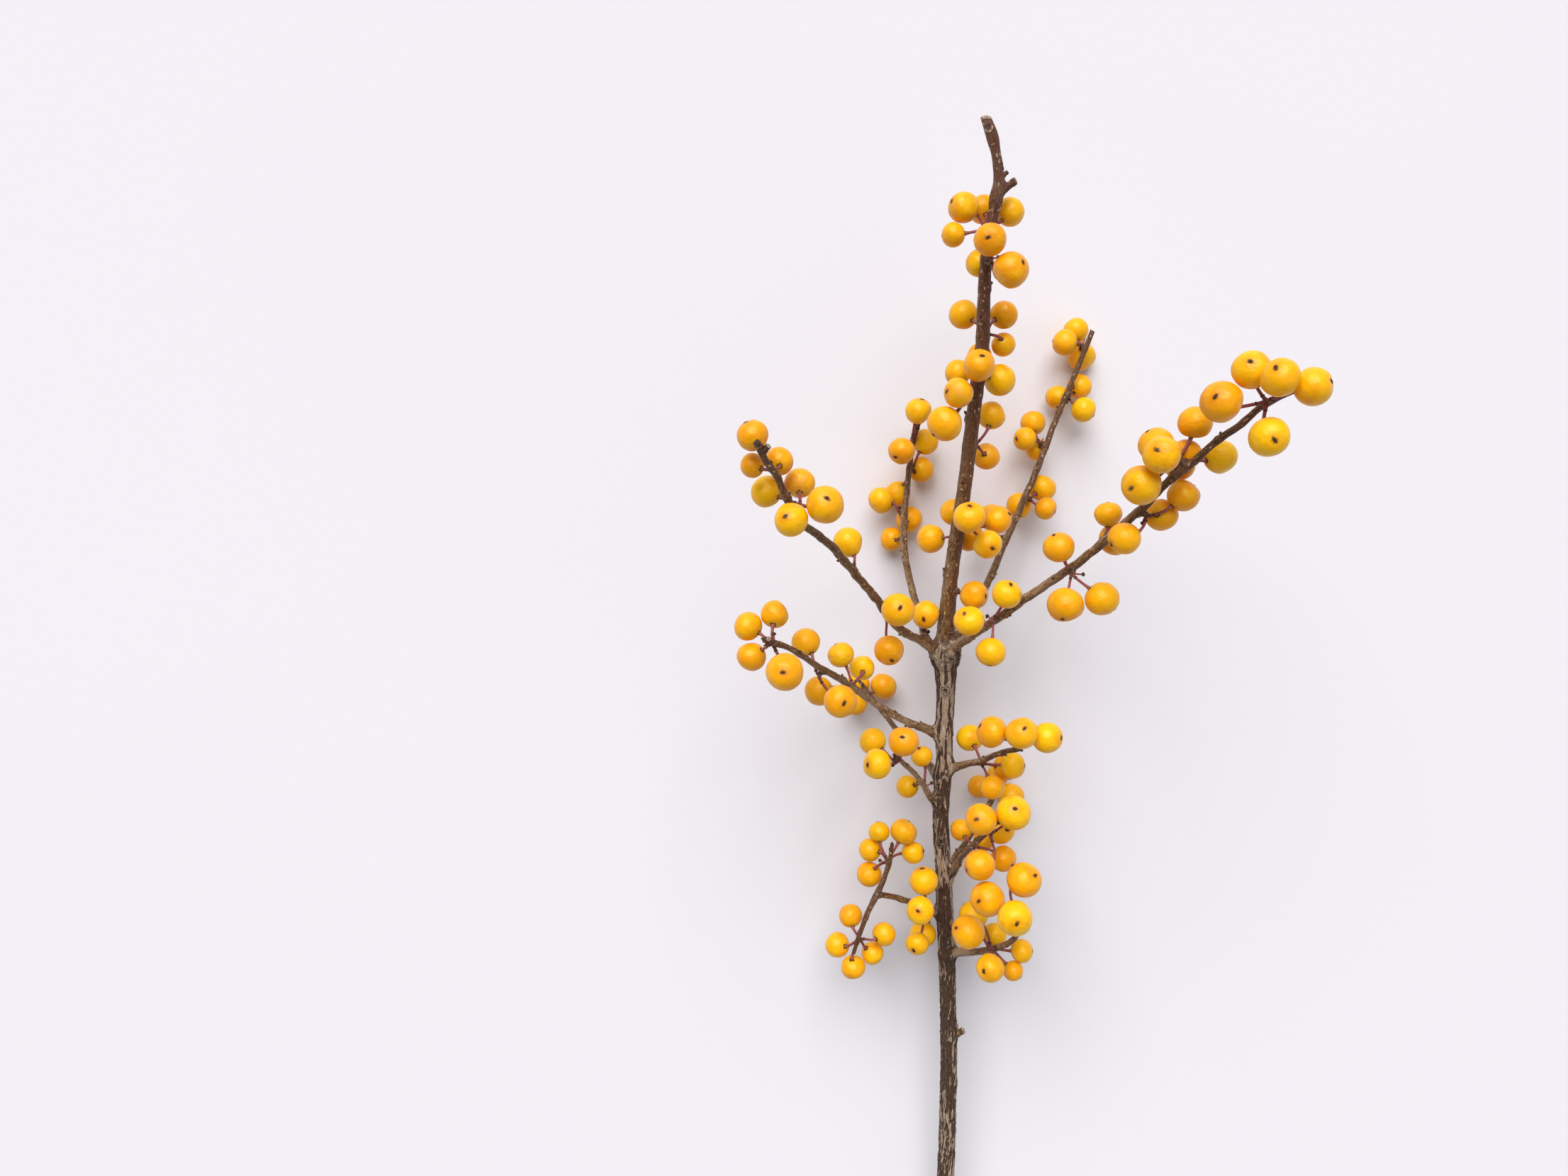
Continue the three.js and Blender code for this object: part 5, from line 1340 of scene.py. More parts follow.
def bark():
    g = Shader("bark")
    q = g.attr("bark", "Vector")
    age, plate, scar, cut = (g.attr(k) for k in ("age", "plate", "scar", "cut"))
    rad, tone, dark = (g.attr(k) for k in ("rad", "tone", "dark"))
    w = g.warp(q, 0.4, 0.75)
    long_q = g.vec("MULTIPLY", w, (1.0, 1.0, 0.28))
    fibre_q = g.vec("MULTIPLY", w, (1.0, 1.0, 0.09))
    grain = g.noise(long_q, 2.3, 4.0, 0.62)
    fibre = g.noise(fibre_q, 3.2, 3.0, 0.6)
    broad = g.noise(g.vec("MULTIPLY", q, (1.0, 1.0, 0.35)), 0.34, 3.0, 0.5)
    dust = g.noise(q, 6.0, 2.0, 0.6)
    # old bark: a thin grey-tan outer layer, split into strands over dark brown
    lines = g.noise(g.vec("MULTIPLY", w, (1.0, 1.0, 0.13)), 1.15, 2.0, 0.5)
    ridge = g.step(g.math("ABSOLUTE", g.math("SUBTRACT", lines, 0.5)), 0.10, 0.0)
    strip = g.noise(g.vec("MULTIPLY", w, (1.0, 1.0, 0.13)), 2.5, 4.0, 0.62)
    field = g.math("ADD", plate, g.math("MULTIPLY", g.math("SUBTRACT", strip, 0.5), 0.95))
    field = g.math("ADD", field, g.math("MULTIPLY", g.math("SUBTRACT", ridge, 0.4), 0.34))
    torn = g.step(field, 0.45, 0.56)
    low = g.mix(g.step(grain, 0.3, 0.7), colour(46, 32, 23), colour(98, 72, 55))
    high = g.ramp(g.math("ADD", g.math("MULTIPLY", fibre, 0.7), g.math("MULTIPLY", broad, 0.35)),
                  (0.3, colour(112, 88, 70)), (0.48, colour(160, 136, 116)), (0.68, colour(212, 190, 168)))
    high = g.mix(g.step(broad, 0.48, 0.66, 0.0, 0.55), high, colour(134, 124, 112))
    hair = g.step(fibre, 0.40, 0.33)
    high = g.mix(g.math("MULTIPLY", hair, 0.7), high, colour(66, 47, 36))
    old = g.mix(torn, low, high)
    # a dark line at the foot of each edge of the outer layer is painted shade, and a pale line along its top edge is
    # painted highlight
    lip = g.step(g.math("ABSOLUTE", g.math("SUBTRACT", field, 0.44)), 0.05, 0.0)
    old = g.mix(g.math("MULTIPLY", lip, 0.5), old, colour(30, 19, 14))
    painted_edge_highlight = g.step(g.math("ABSOLUTE", g.math("SUBTRACT", field, 0.60)), 0.06, 0.0)
    old = g.mix(g.math("MULTIPLY", painted_edge_highlight, 0.45), old, colour(202, 180, 160))
    # young bark: olive-brown to dark red-brown, with a thin silvery film and pale raised pores
    # one side of each stem is painted darker and redder, the other lighter and greyer: painted light and shade across
    # the stem
    side = g.step(g.split(q)[1], -1.6, 1.6)
    t = g.math("ADD", tone, g.math("MULTIPLY", g.math("SUBTRACT", broad, 0.5), 0.9))
    t = g.math("ADD", t, g.math("MULTIPLY", g.math("SUBTRACT", side, 0.5), 0.4), clamp=True)
    young = g.ramp(t, (0.0, colour(150, 115, 68)), (0.3, colour(124, 86, 42)), (0.65, colour(108, 66, 32)), (1.0, colour(98, 54, 36)))
    young = g.mix(g.math("MULTIPLY", g.step(fibre, 0.46, 0.58), g.step(t, 0.3, 0.95, 0.8, 0.45)), young, colour(46, 27, 16))
    film = g.math("SUBTRACT", g.math("MULTIPLY", g.math("ADD", grain, broad), 0.5), g.math("MULTIPLY", tone, 0.06))
    # the silvery film is also painted thicker on the lighter side, as painted light
    film = g.step(g.math("SUBTRACT", film, g.math("MULTIPLY", g.math("SUBTRACT", side, 0.5), 0.07)), 0.46, 0.54)
    young = g.mix(g.math("MULTIPLY", film, g.step(t, 0.1, 0.8, 0.8, 0.3)), young, g.mix(g.step(t, 0.0, 0.6), colour(190, 160, 130), colour(146, 110, 74)))
    mottle = g.noise(g.vec("MULTIPLY", w, (1.0, 1.0, 0.45)), 1.5, 3.0, 0.62)
    young = g.mix(g.math("MULTIPLY", g.step(mottle, 0.54, 0.61), g.step(t, 0.1, 0.85, 0.52, 0.10)), young, colour(186, 150, 118))
    loose = g.warp(q, 1.3, 0.5)
    pores = g.cells(g.vec("MULTIPLY", loose, (1.0, 1.0, 0.55)), 0.78)
    small = g.cells(g.vec("MULTIPLY", loose, (1.0, 1.0, 0.62)), 1.65)
    chance = g.split(pores["Color"])
    pore = g.math("MULTIPLY", g.step(g.math("SUBTRACT", pores["Distance"], g.math("MULTIPLY", chance[1], 0.16)), 0.16, 0.05), g.step(chance[0], 0.42, 0.47))
    fleck = g.math("MULTIPLY", g.step(small["Distance"], 0.26, 0.13), g.step(g.split(small["Color"])[1], 0.42, 0.48))
    pale = g.math("MAXIMUM", pore, g.math("MULTIPLY", fleck, g.step(t, 0.5, 0.95, 0.9, 0.35)))
    young = g.mix(g.math("MULTIPLY", pale, 0.92), young, g.mix(grain, colour(172, 138, 108), colour(240, 214, 186)))
    base = g.mix(age, young, old)
    # dark: darker bark of buds and spurs, and painted shade in creases, grooves, pits, hollows and ring troughs
    base = g.mix(g.math("MULTIPLY", dark, 0.82), base, g.mix(grain, colour(34, 23, 18), colour(74, 64, 56)))
    # scar: pale scars, cut ends, pores and ring scars, and painted highlight on the crests of wrinkles, rings and pads
    tan = g.mix(g.step(g.noise(g.vec("MULTIPLY", w, (1.0, 1.0, 0.5)), 2.2, 3.0, 0.6), 0.32, 0.68), colour(120, 92, 74), colour(220, 196, 172))
    base = g.mix(g.step(g.math("ADD", scar, g.math("MULTIPLY", g.math("SUBTRACT", dust, 0.5), 0.7)), 0.25, 0.75), base, tan)
    base = g.mix(g.step(dust, 0.35, 0.8, 0.0, 0.25), base, colour(30, 20, 15))
    # the rings of bark round a sleeping bud: painted highlight on their crests, painted shade in their troughs and in
    # the pit
    eye = g.attr("eye", "Vector")
    on = g.split(eye)[2]
    flat = g.vec("MULTIPLY", eye, (1.0, 1.0, 0.0))
    rho = g.math("ADD", g.vec("LENGTH", flat), g.math("MULTIPLY", g.math("SUBTRACT", g.noise(q, 1.0, 2.0), 0.5), 1.15))
    rings_at = g.math("COSINE", g.math("MULTIPLY", g.math("SUBTRACT", rho, 0.18), 11.6))
    ring_on = g.math("MULTIPLY", g.math("MULTIPLY", g.step(rho, 1.75, 0.95), g.step(rho, 0.22, 0.42)), on)
    painted_ring_highlight = g.math("MULTIPLY", g.step(rings_at, 0.15, 0.85), ring_on)
    painted_ring_shade = g.math("MULTIPLY", g.step(rings_at, -0.15, -0.8), ring_on)
    pit = g.math("MULTIPLY", g.step(rho, 0.46, 0.26), on)
    knob = g.math("MULTIPLY", g.step(g.vec("LENGTH", flat), 0.17, 0.07), on)
    # painted highlight on the crests of the rings, painted shade in their troughs and in the pit
    base = g.mix(g.math("MULTIPLY", painted_ring_highlight, 0.6), base, g.mix(grain, colour(140, 118, 98), colour(206, 186, 164)))
    base = g.mix(g.math("MULTIPLY", g.math("MAXIMUM", g.math("MULTIPLY", painted_ring_shade, 0.75), pit), 0.85), base, colour(36, 27, 22))
    base = g.mix(g.math("MULTIPLY", knob, 0.7), base, colour(150, 124, 98))
    # cut wood
    wood_n = g.noise(q, 1.5, 3.0, 0.6)
    rings = g.math("SINE", g.math("ADD", g.math("MULTIPLY", rad, 26.0), g.math("MULTIPLY", wood_n, 2.2)))
    wood = g.mix(g.step(rings, 0.1, 1.0, 0.0, 0.55), colour(226, 200, 156), colour(190, 154, 106))
    wood = g.mix(g.step(wood_n, 0.45, 0.75, 0.0, 0.5), wood, colour(168, 136, 98))
    face = g.ramp(rad, (0.0, colour(122, 84, 52)), (0.1, colour(142, 104, 66)), (0.15, colour(220, 192, 146)), (0.82, colour(222, 198, 152)),
                  (0.88, colour(150, 128, 74)), (0.93, colour(84, 58, 40)), (1.0, colour(70, 48, 34)))
    ringed = g.math("MULTIPLY", g.step(rad, 0.14, 0.18), g.step(rad, 0.86, 0.80))
    face = g.mix(ringed, face, wood)
    base = g.mix(g.step(cut, 0.3, 0.7), base, face)
    rough_old = g.step(grain, 0.2, 0.8, 0.80, 0.95)
    rough_young = g.step(grain, 0.25, 0.75, 0.42, 0.62)
    rough = g.math("ADD", g.math("MULTIPLY", age, g.math("SUBTRACT", rough_old, rough_young)), rough_young)
    rough = g.math("MAXIMUM", rough, g.math("MULTIPLY", g.math("MAXIMUM", scar, cut), 0.78))
    height = g.math("ADD", g.math("MULTIPLY", torn, g.math("MULTIPLY", age, 0.9)), g.math("MULTIPLY", grain, 0.6))
    height = g.math("SUBTRACT", height, g.math("MULTIPLY", g.step(fibre, 0.42, 0.62), 0.45))
    height = g.math("ADD", height, g.math("MULTIPLY", pale, g.math("SUBTRACT", 0.7, g.math("MULTIPLY", age, 0.7))))
    height = g.math("ADD", height, g.math("MULTIPLY", dust, 0.12))
    height = g.math("ADD", height, g.math("MULTIPLY", g.math("MULTIPLY", rings_at, ring_on), 0.8))
    height = g.math("SUBTRACT", height, g.math("MULTIPLY", pit, 1.2))
    g.set(Base_Color=base, Roughness=rough, Normal=g.bump(height, 0.00026))
    g.set(Specular_IOR_Level=0.38)
    return g.material


MATERIALS = {"bark": bark(), "skin": berry_skin(), "scar": flower_scar(), "stalk": stalk_skin(), "dry": dry_skin()}


# ---------------------------------------------------------------------------
# The camera: at the photograph's viewing angle, straight above the branch
# ---------------------------------------------------------------------------
CAMERA_AT = np.array(CAMERA["at"])
camera = bpy.data.objects.new("camera", bpy.data.cameras.new("camera"))
bpy.context.scene.collection.objects.link(camera)
look, up = unit(CAMERA["look"]), unit(CAMERA["up"])
across = unit(np.cross(look, up))
up = np.cross(across, look)
turn = Matrix([[across[i], up[i], -look[i]] for i in range(3)]).to_4x4()
camera.matrix_world = Matrix.Translation([float(c) * MM for c in CAMERA_AT]) @ turn
camera.data.sensor_fit = "HORIZONTAL"
camera.data.sensor_width = 36.0
camera.data.lens = 25.99
camera.data.clip_start, camera.data.clip_end = 0.01, 100.0
bpy.context.scene.camera = camera


def facing(stem, s):
    """The angle round the stem of the side that faces the camera."""
    i = int(np.clip(np.searchsorted(stem.s, s), 0, len(stem.s) - 1))
    d = CAMERA_AT - stem.c[i]
    return math.atan2(d @ stem.b[i], d @ stem.n[i])


def angle_of(stem, s, direction):
    i = int(np.clip(np.searchsorted(stem.s, s), 0, len(stem.s) - 1))
    d = np.asarray(direction, float)
    return math.atan2(d @ stem.b[i], d @ stem.n[i])


# ---------------------------------------------------------------------------
# Wood
# ---------------------------------------------------------------------------
GROUP_STEM = {
    "leader": "main_stem", "left_front": "left_front_shoot", "back_left": "back_left_shoot", "right": "right_shoot",
    "back_right": "back_right_shoot", "left_middle": "left_middle_twig", "right_middle": "right_middle_twig",
    "left_small": "left_small_twig", "right_lower": "right_lower_twig", "right_bottom": "right_bottom_twig",
    "left_lower": "left_lower_twig", "left_lower_up": "left_lower_up", "left_lower_down": "left_lower_down",
    "back_middle": "back_middle_twig", "back_lower": "back_lower_twig",
}
stems = {}
for name, rows in WOOD.items():
    old_wood = name == "main_stem"
    stems[name] = Stem(name, rows, 0.5, 64, fine_from=312.0) if old_wood else Stem(name, rows, 0.38, 24, wander=0.42)
main = stems["main_stem"]
fork = float(main.s[np.argmin(abs(main.c[:, 1] - WHORL_Y))])
main.r *= (1 - 0.06 * smooth(270.0, 290.0, main.c[:, 1])) * (1 + 0.30 * smooth(316.0, 321.0, main.c[:, 1]) * (1 - 0.35 * smooth(323.0, 327.0, main.c[:, 1])))

# the nodes that the berries grow from
for name, group in CLUSTERS.items():
    stem = stems[GROUP_STEM[name[len("berries_"):].rsplit("_", 1)[0]]]
    s0, angle, i = stem.locate(group["spur"])
    stem.leaf_scar(s0, angle, float(np.clip(stem.r[i] / 1.6, 0.62, 1.15)))

# the feet of the side shoots: some leave the stem at its side and only then turn to the front
for name, aside in (("left_middle_twig", (-1.4, 0.0, -2.7)), ("left_small_twig", (-0.8, 0.3, -2.5)), ("right_middle_twig", (1.8, 0.2, -1.7)),
                    ("right_lower_twig", (1.3, 0.0, -2.3)), ("right_bottom_twig", (1.2, 0.0, -2.0))):
    stem = stems[name]
    stem.c = stem.c + (smooth(0.0, 3.8, stem.s) * smooth(21.0, 4.5, stem.s))[:, None] * np.array(aside)
    stem.tan = unit(np.gradient(stem.c, stem.s, axis=0))
    side = stem.n[0]
    for i, along in enumerate(stem.tan):
        side = unit(side - (side @ along) * along)
        stem.n[i] = side
    stem.b = np.cross(stem.tan, stem.n)
exits, feet = {}, {}
for name, stem in stems.items():
    if name == "main_stem":
        continue
    parent = stems[PARENT.get(name, "main_stem")]
    gap = np.array([np.sqrt(((parent.c - c) ** 2).sum(1).min()) - parent.r[np.argmin(((parent.c - c) ** 2).sum(1))] for c in stem.c[:66]])
    leave = int(np.argmax(gap > 0))
    exits[name] = float(stem.s[leave])
    s0, angle, i = parent.locate(stem.c[leave])
    strong = parent is main
    radius = float(stem.r[leave])
    # the foot itself widens and is ringed
    past = stem.s - exits[name]
    stem.r *= 1 + (0.34 if strong else 0.2) * np.exp(-(np.maximum(past - 0.4, 0) / 2.6) ** 2) + 0.10 * np.exp(-((past - 5.2) / 1.6) ** 2)
    wave = np.cos(2 * math.pi * past[:, None] / 1.05 + 2.2 * noise(np.stack([np.cos(stem.angle)[None] * 1.2 + 0 * past[:, None],
                                                                       np.sin(stem.angle)[None] * 1.2 + 0 * past[:, None],
                                                                       past[:, None] * 0.4 + 0 * stem.angle[None]], -1), stem.seed + 9))
    fade = (np.exp(-np.maximum(past, 0) / 2.4) * smooth(-1.5, 0.0, past))[:, None]
    stem.height += (0.15 if strong else 0.05) * wave * fade
    # the troughs of the foot's rings are painted dark as painted shade and their crests pale as painted highlight
    stem.dark = np.maximum(stem.dark, 0.75 * smooth(0.0, -0.9, wave) * fade)
    stem.scar = np.maximum(stem.scar, 0.45 * smooth(0.2, 0.9, wave) * fade)
    stem.ring_scar(exits[name] + 6.6, 0.10, 0.25, pale=0.45)
    stem.busy.append(exits[name])
    feet.setdefault(parent.name, []).append((s0, angle, radius, name))
for parent_name, shoots in feet.items():
    parent = stems[parent_name]
    strong = parent is main
    shoots.sort()
    groups = []
    for shoot in shoots:
        if groups and shoot[0] - groups[-1][-1][0] < 13:
            groups[-1].append(shoot)
        else:
            groups.append([shoot])
    for group in groups:
        near_fork = strong and abs(np.mean([g[0] for g in group]) - fork) < 12
        reach = 12 if near_fork else 3.2 * max(g[2] for g in group) + 5
        paths = [(stems[g[3]].c[:70], stems[g[3]].r[:70]) for g in group]
        fillet(parent, paths, group[0][0] - reach, group[-1][0] + reach, 4.0 if near_fork else 3.0 if strong else 1.6,
               2.2 if near_fork else 1.9 if strong else 0.9)
        for s0, angle, radius, name in group:
            parent.collar(s0 - (0.4 if strong else 0), angle, radius * 1.15, 0.12 if strong else 0.06, 0.20 if strong else 0.06)

# the fork: a swollen joint of rounded pads of bark with a groove between them, a V of bark under the leader, and
# cracks below it, with painted shade in its folds, groove and hollows and painted highlight on its pads and the V
front = facing(main, fork)
w, ds, dt = main.around(fork, front, 16)
rough = noise(np.stack([ds * 0.6, dt * 0.6, 0 * ds], -1), 70)
lower = -5.2 + 1.7 * np.exp(-((dt + 0.1) / 0.6) ** 2) + 0.5 * rough
main.height[w] += 0.62 * smooth(lower - 1.1, lower + 1.1, ds) * smooth(6.5, 2.0, ds) * (1 + 0.3 * rough)
main.height[w] += 0.35 * np.exp(-((ds + 7.0) / 3.5) ** 2)
knot = smooth(-6.5, -4.0, ds) * smooth(6.0, 3.0, ds)
lumps = noise(np.stack([ds * 0.85, dt * 0.75, 0 * ds], -1), 74)
folds = noise(np.stack([ds * 1.9, dt * 0.9, 0 * ds + 4], -1), 75)
main.height[w] += (0.34 * lumps - 0.26 * np.exp(-(folds / 0.16) ** 2)) * knot
# the folds of the knot are painted dark as painted shade, and so is the foot of the swelling's lower edge
main.dark[w] = np.maximum(main.dark[w], 0.75 * np.exp(-(folds / 0.10) ** 2) * knot * smooth(-0.3, 0.2, lumps + 0.25))
main.dark[w] = np.maximum(main.dark[w], 0.55 * np.exp(-((ds - lower + 0.7) / 0.4) ** 2) * smooth(0.4, -0.4, rough))
for at_s, at_t, along_size, across_size, up in ((-1.0, -3.0, 2.2, 1.6, 0.75), (-1.5, 1.8, 2.0, 1.35, 0.65), (3.2, -2.0, 1.6, 0.9, 0.35), (2.8, 3.4, 1.8, 1.2, 0.4), (-3.6, -3.4, 1.2, 1.3, 0.35)):
    main.height[w] += up * np.exp(-((ds - at_s) / along_size) ** 2 - ((dt - at_t) / across_size) ** 2)
    # the tops of the pads are painted pale as painted highlight
    main.scar[w] = np.maximum(main.scar[w], 0.26 * np.exp(-(((ds - at_s) / along_size) ** 2 + ((dt - at_t) / across_size) ** 2) * 1.6) * smooth(-0.5, 0.5, rough + 0.2))
groove = np.exp(-((dt + 0.1 + 0.3 * rough) / 0.42) ** 2) * smooth(-4.6, -3.4, ds) * smooth(3.0, 2.2, ds)
main.height[w] -= 0.85 * groove
# the groove is painted dark as painted shade
main.dark[w] = np.maximum(main.dark[w], 0.85 * groove)
vee = ds - 3.4 - 2.7 * smooth(0, 2.5, abs(dt + 0.1)) + 0.3 * rough
inside = smooth(3.2, 2.2, abs(dt))
main.height[w] += (0.6 * np.exp(-(vee / 0.5) ** 2) - 0.25 * smooth(0.2, 1.0, vee) * smooth(4.0, 2.2, vee)) * inside
# the ridge of the V is painted pale as painted highlight, and the hollow behind it dark as painted shade
main.scar[w] = np.maximum(main.scar[w], 0.95 * np.exp(-(vee / 0.5) ** 2) * inside)
main.dark[w] = np.maximum(main.dark[w], 0.8 * smooth(0.5, 1.1, vee) * smooth(3.4, 2.2, vee) * smooth(2.2, 1.2, abs(dt)))
for turn_at in (1.9, 2.8, -2.0, -2.8):       # wrinkled bark on the sides that the camera doesn't see
    main.eye(fork - 1.5 + turn_at * 0.4, front + turn_at, 1.2)
main.eye(fork - 1.3, front + 0.42, 1.1)
main.eye(fork - 1.0, front - 0.78, 0.85)
eye_low = float(main.s[np.argmin(abs(main.c[:, 1] - 135.2))])
main.eye(eye_low, facing(main, eye_low) - 0.03, 1.5)
eye_lower = float(main.s[np.argmin(abs(main.c[:, 1] - 76.5))])
main.eye(eye_lower, facing(main, eye_lower) - 0.1, 1.45)
cracks = np.zeros_like(main.height)
for s_lo, s_hi, across_mm, wide, grow in ((-11.6, -3.2, 0.0, 0.62, 0.5), (-34.0, -16.0, -1.75, 0.5, 0.0), (-31.0, -15.5, 1.7, 0.55, 0.0),
                                          (-13.0, -4.5, 2.3, 0.28, 0.0), (-12.5, -5.5, -2.2, 0.22, 0.0), (-46.0, -36.0, 0.5, 0.5, 0.0), (-52.0, -38.0, -2.2, 0.4, 0.0)):
    w, ds, dt = main.around(fork + (s_lo + s_hi) / 2, front, (s_hi - s_lo) / 2 + 2)
    half = (s_hi - s_lo) / 2
    wander = 0.5 * noise(np.stack([ds * 0.3, 0 * ds, 0 * ds + s_lo], -1), 72)
    taper = np.sqrt(np.clip(1 - (ds / half) ** 2, 0, 1)) * (1 - grow * ds / half)
    ragged = 0.3 * noise(np.stack([ds * 1.1, dt * 1.1, 0 * ds + s_lo], -1), 73)
    cracks[w] = np.maximum(cracks[w], smooth(1.15, 0.75, (abs(dt - across_mm - wander) + ragged * 0.5) / (wide * taper + 1e-3)) * (taper > 0))

# sleeping buds elsewhere on the old wood, stubs of shoots that were cut away, and the torn tip
rng = np.random.default_rng(11)
s_at = 24.0
stubs = []
while s_at < fork - 110:
    turn_at = rng.uniform(0, 2 * math.pi)
    if rng.random() < 0.4:
        _, d, _ = main.place(s_at, turn_at)
        if d[2] > -0.3:
            main.collar(s_at, turn_at, 1.3, 0.5, 0.14)
            stubs.append((s_at + 0.3, turn_at, rng.uniform(1.0, 1.4), rng.uniform(1.6, 3.2), 40 + len(stubs)))
    else:
        main.eye(s_at, turn_at, rng.uniform(1.0, 1.35))
    s_at += rng.uniform(20, 42)
tip = float(main.s[-1])
hollow = float(main.s[np.argmin(abs(main.c[:, 1] - 324.0))])
w, ds, dt = main.around(hollow, facing(main, hollow) - 0.15, 6)
rho = np.hypot(ds / 1.25, dt / 1.15) + 0.14 * noise(np.stack([ds, dt, 0 * ds], -1), 76)
under = smooth(0.5, -0.5, ds)
main.height[w] += 0.30 * np.exp(-((rho - 1.1) / 0.32) ** 2) * (0.25 + 0.75 * under) - 0.26 * smooth(1.0, 0.3, rho)
main.scar[w] = np.maximum(main.scar[w], 0.85 * np.exp(-((rho - 1.12) / 0.25) ** 2) * under)
# the inside of the hollow is painted dark as painted shade
main.dark[w] = np.maximum(main.dark[w], 0.75 * smooth(1.0, 0.5, rho))
main.ring_scar(float(main.s[np.argmin(abs(main.c[:, 1] - 319.2))]), 0.12, 0.2, tilt=0.25, tilt_angle=1.0, pale=0.85)
for at_y, at_t, long_way, short_way in ((315.6, 0.15, 0.75, 0.42), (313.9, 0.55, 0.85, 0.45), (311.9, -0.5, 0.5, 0.3), (306.6, 0.1, 0.6, 0.35), (299.2, -0.6, 0.7, 0.4), (295.0, 0.8, 0.55, 0.35)):
    at_s = float(main.s[np.argmin(abs(main.c[:, 1] - at_y))])      # the pale raised pores near the tip
    w, ds, dt = main.around(at_s, facing(main, at_s), 3)
    oval = smooth(1.25, 0.7, np.hypot(ds / long_way, (dt - at_t) / short_way))
    main.height[w] += 0.09 * oval
    main.scar[w] = np.maximum(main.scar[w], 0.6 * oval)
w = main.window(tip, 2.0)
main.scar[w] = np.maximum(main.scar[w], smooth(1.7, 0.4, tip - main.s[w])[:, None])
stub_low = float(main.s[np.argmin(abs(main.c[:, 1] - 307.2))])
stub_high = float(main.s[np.argmin(abs(main.c[:, 1] - 308.0))])
to_right = angle_of(main, stub_low, (0.93, 0.15, 0.25))
low_out = main.place(stub_low, to_right)[1]
low_path = bezier(main.c[np.searchsorted(main.s, stub_low - 4.6)], main.c[np.searchsorted(main.s, stub_low - 2.8)] + low_out * 0.9,
                  main.c[np.searchsorted(main.s, stub_low - 1.0)] + low_out * 3.0, main.c[np.searchsorted(main.s, stub_low + 0.6)] + low_out * 5.6, 22)
low_radii = 1.85 - 0.65 * smooth(0, 0.8, np.linspace(0, 1, 22)) + 0.10 * np.exp(-((np.linspace(0, 1, 22) - 0.9) / 0.07) ** 2)
fillet(main, [(low_path, low_radii)], stub_low - 11, stub_low + 7, 2.4, 1.5)
main.collar(stub_low + 0.4, to_right, 1.5, 0.05, 0.07)
main.collar(stub_high + 1.2, to_right + 0.25, 0.7, 0.3, 0.05)

# bare nodes with small buds along the young wood
buds = {name: [] for name in stems}
for name, stem in stems.items():
    rng = np.random.default_rng(stem.seed)
    s_at = (fork + 11) if name == "main_stem" else exits[name] + 8.5
    turn_at = rng.uniform(0, 6.28)
    last = stem.s[-1] - (14 if name == "main_stem" else 2.5)
    while s_at < last:
        if all(abs(s_at - b) > 4.2 for b in stem.busy) and not (name == "main_stem" and abs(s_at - stub_low) < 6):
            size = float(np.clip(stem.r[np.searchsorted(stem.s, s_at)] / 1.7, 0.6, 1.0))
            stem.leaf_scar(s_at, turn_at, size * 0.85)
            buds[name].append((s_at + 0.6, turn_at, size, stem.seed + len(buds[name]) * 7))
        s_at += rng.uniform(8.5, 14.0)
        turn_at += 2.5 + rng.uniform(-0.3, 0.3)

PIECES = {name: [name] for name in stems if name not in PARENT}
for child, parent in PARENT.items():
    PIECES[parent].append(child)

